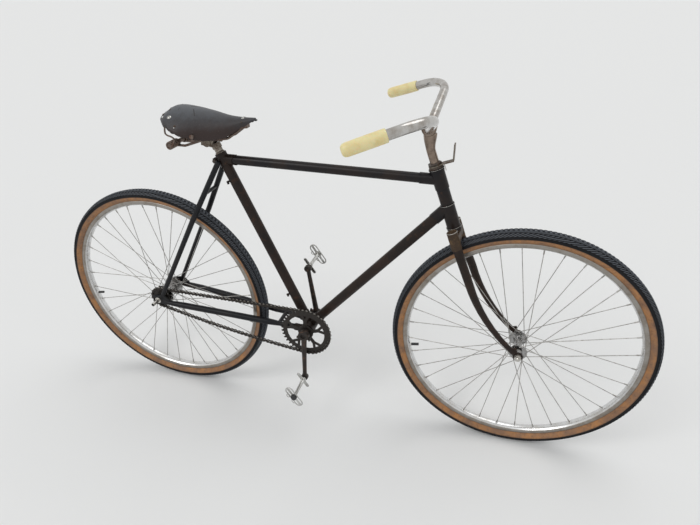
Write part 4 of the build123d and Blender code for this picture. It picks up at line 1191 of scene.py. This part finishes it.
def make_cranks():
    """Both cranks."""
    for name, (side, angle) in crank_sides.items():
        shape = Shape()
        spot = crank_frame(side, angle)
        shape.turn(mirrored([(-8, 8.1), (-8, 15.4), (-6.6, 17)]), spot, 56, loop=True)
        flat = Matrix.Scale(0.86, 4, Vector((0, 1, 0)))
        arm = [(11, 8.8), (22, 8.7), (40, 8.2), (90, 7.3), (140, 6.6), (154, 6.9), (161, 7.6)]
        shape.tube([(x, 0, 0) for x, _ in arm], [r for _, r in arm], 28, spot @ flat)
        tip = spot @ moved((crank_length, 0, 0))
        shape.turn(mirrored([(-7, 0), (-7, 9.8), (-5.8, 11)]), tip, 40)
        shape.tube([(0, side * 6, 0), (0, side * 92, 0)], 4, 20, tip)
        shape.tube([(cotter_at, 0, 13), (cotter_at, 0, -23)], 4, 20, spot)
        shape.tube([(cotter_at, 0, 13), (cotter_at, 0, 20)], 3.2, 16, spot)
        if name == "right":
            shape.turn([(7.5, 8.1), (7.5, 15), (14.5, 15), (14.5, 8.1)], spot, 48, loop=True)
        crank = "crank_" + name
        cast(piece("crank_forging_" + name, shape, "crankset", "arm_steel", crank), 1, 4)
        nuts = Shape()
        nut(nuts, spot @ facing((cotter_at, 0, 0), (0, 0, 1)), 12.4, 15.8, 19.6, 3.2)
        eye = [(side * 6.6, 4.2), (side * 6.6, 8.6), (side * 7.3, 8.4), (side * 7.3, 4.2)]
        nuts.turn(eye, tip, 32, loop=True)
        piece("crank_cotter_" + name, nuts, "crankset", "ring_steel", "", 30)


make_cranks()


def stadium(spread, r):
    """A long outline with round ends, as points of (x, z)."""
    end_steps = 10
    outline = []
    for end, start in ((1, -90), (-1, 90)):
        for k in range(end_steps + 1):
            a = radians(start + 180 * k / end_steps)
            outline.append((end * spread + r * cos(a), r * sin(a)))
    return outline


def make_pedals():
    """Both pedals: a slim barrel, a framed outer plate with its cap, a small inner plate and bent clips."""
    for name, (side, angle) in crank_sides.items():
        tip = crank_frame(side, angle) @ moved((crank_length, 0, 0))
        spot = Matrix.Translation(tip.translation) @ Matrix.Rotation(radians(pedal_turn), 4, "Y")
        shape = Shape()
        barrel = [(12, 4.4), (12, 8.4), (13, 9), (15.6, 9), (18, 7.6), (24, 6.4), (34, 5.7), (60, 5.2),
                  (86, 5.1), (89, 6.2), (92.8, 6.2), (92.8, 4.4)]
        shape.turn([(side * y, r) for y, r in barrel], spot, 32, loop=True)
        for out, spread, r, bead, boss_r in ((93, 24.5, 11.4, 2, 10.6), (17, 24, 4.4, 1.2, 5.3)):
            rail = [(x, side * out, z) for x, z in stadium(spread, r)]
            shape.tube(rail, bead, 10, spot, loop=True)
            hub = [(out - 1.4, 5), (out - 1.4, boss_r), (out + 1.2, boss_r - 0.3), (out + 1.2, 5)]
            shape.turn([(side * y, r) for y, r in hub], spot, 28, loop=True)
        shape.prism(stadium(24, 4), side * 16.4, side * 17.6, spot)
        for end in (-1, 1):
            web = [(end * 8, -3.5), (end * 34, -3.5), (end * 34, 3.5), (end * 8, 3.5)]
            shape.prism(web, side * 92.2, side * 93.6, spot)
        cap = [(92.6, 0), (92.6, 8.6), (93.8, 9.2), (98.4, 9), (100.3, 7.6), (101, 4), (101, 0)]
        shape.turn([(side * y, r) for y, r in cap], spot, 28, skin=1)
        for start, end, drop in ((-17, -5, 8), (7, 21, 6)):
            middle = (start + end) / 2
            low = -11 - drop * 0.7
            clip = [(start, side * 93, -11), (start + 1, side * 94, low), (middle, side * 94.5, -11 - drop),
                    (end - 1, side * 94, low), (end, side * 93, -11)]
            shape.tube(smooth_line(clip, 5), 1.1, 8, spot)
        piece("pedal_" + name, shape, "pedal_" + name, "pedal_alloy black_rubber",
              "pedal_cage_" + name, 40)


make_pedals()
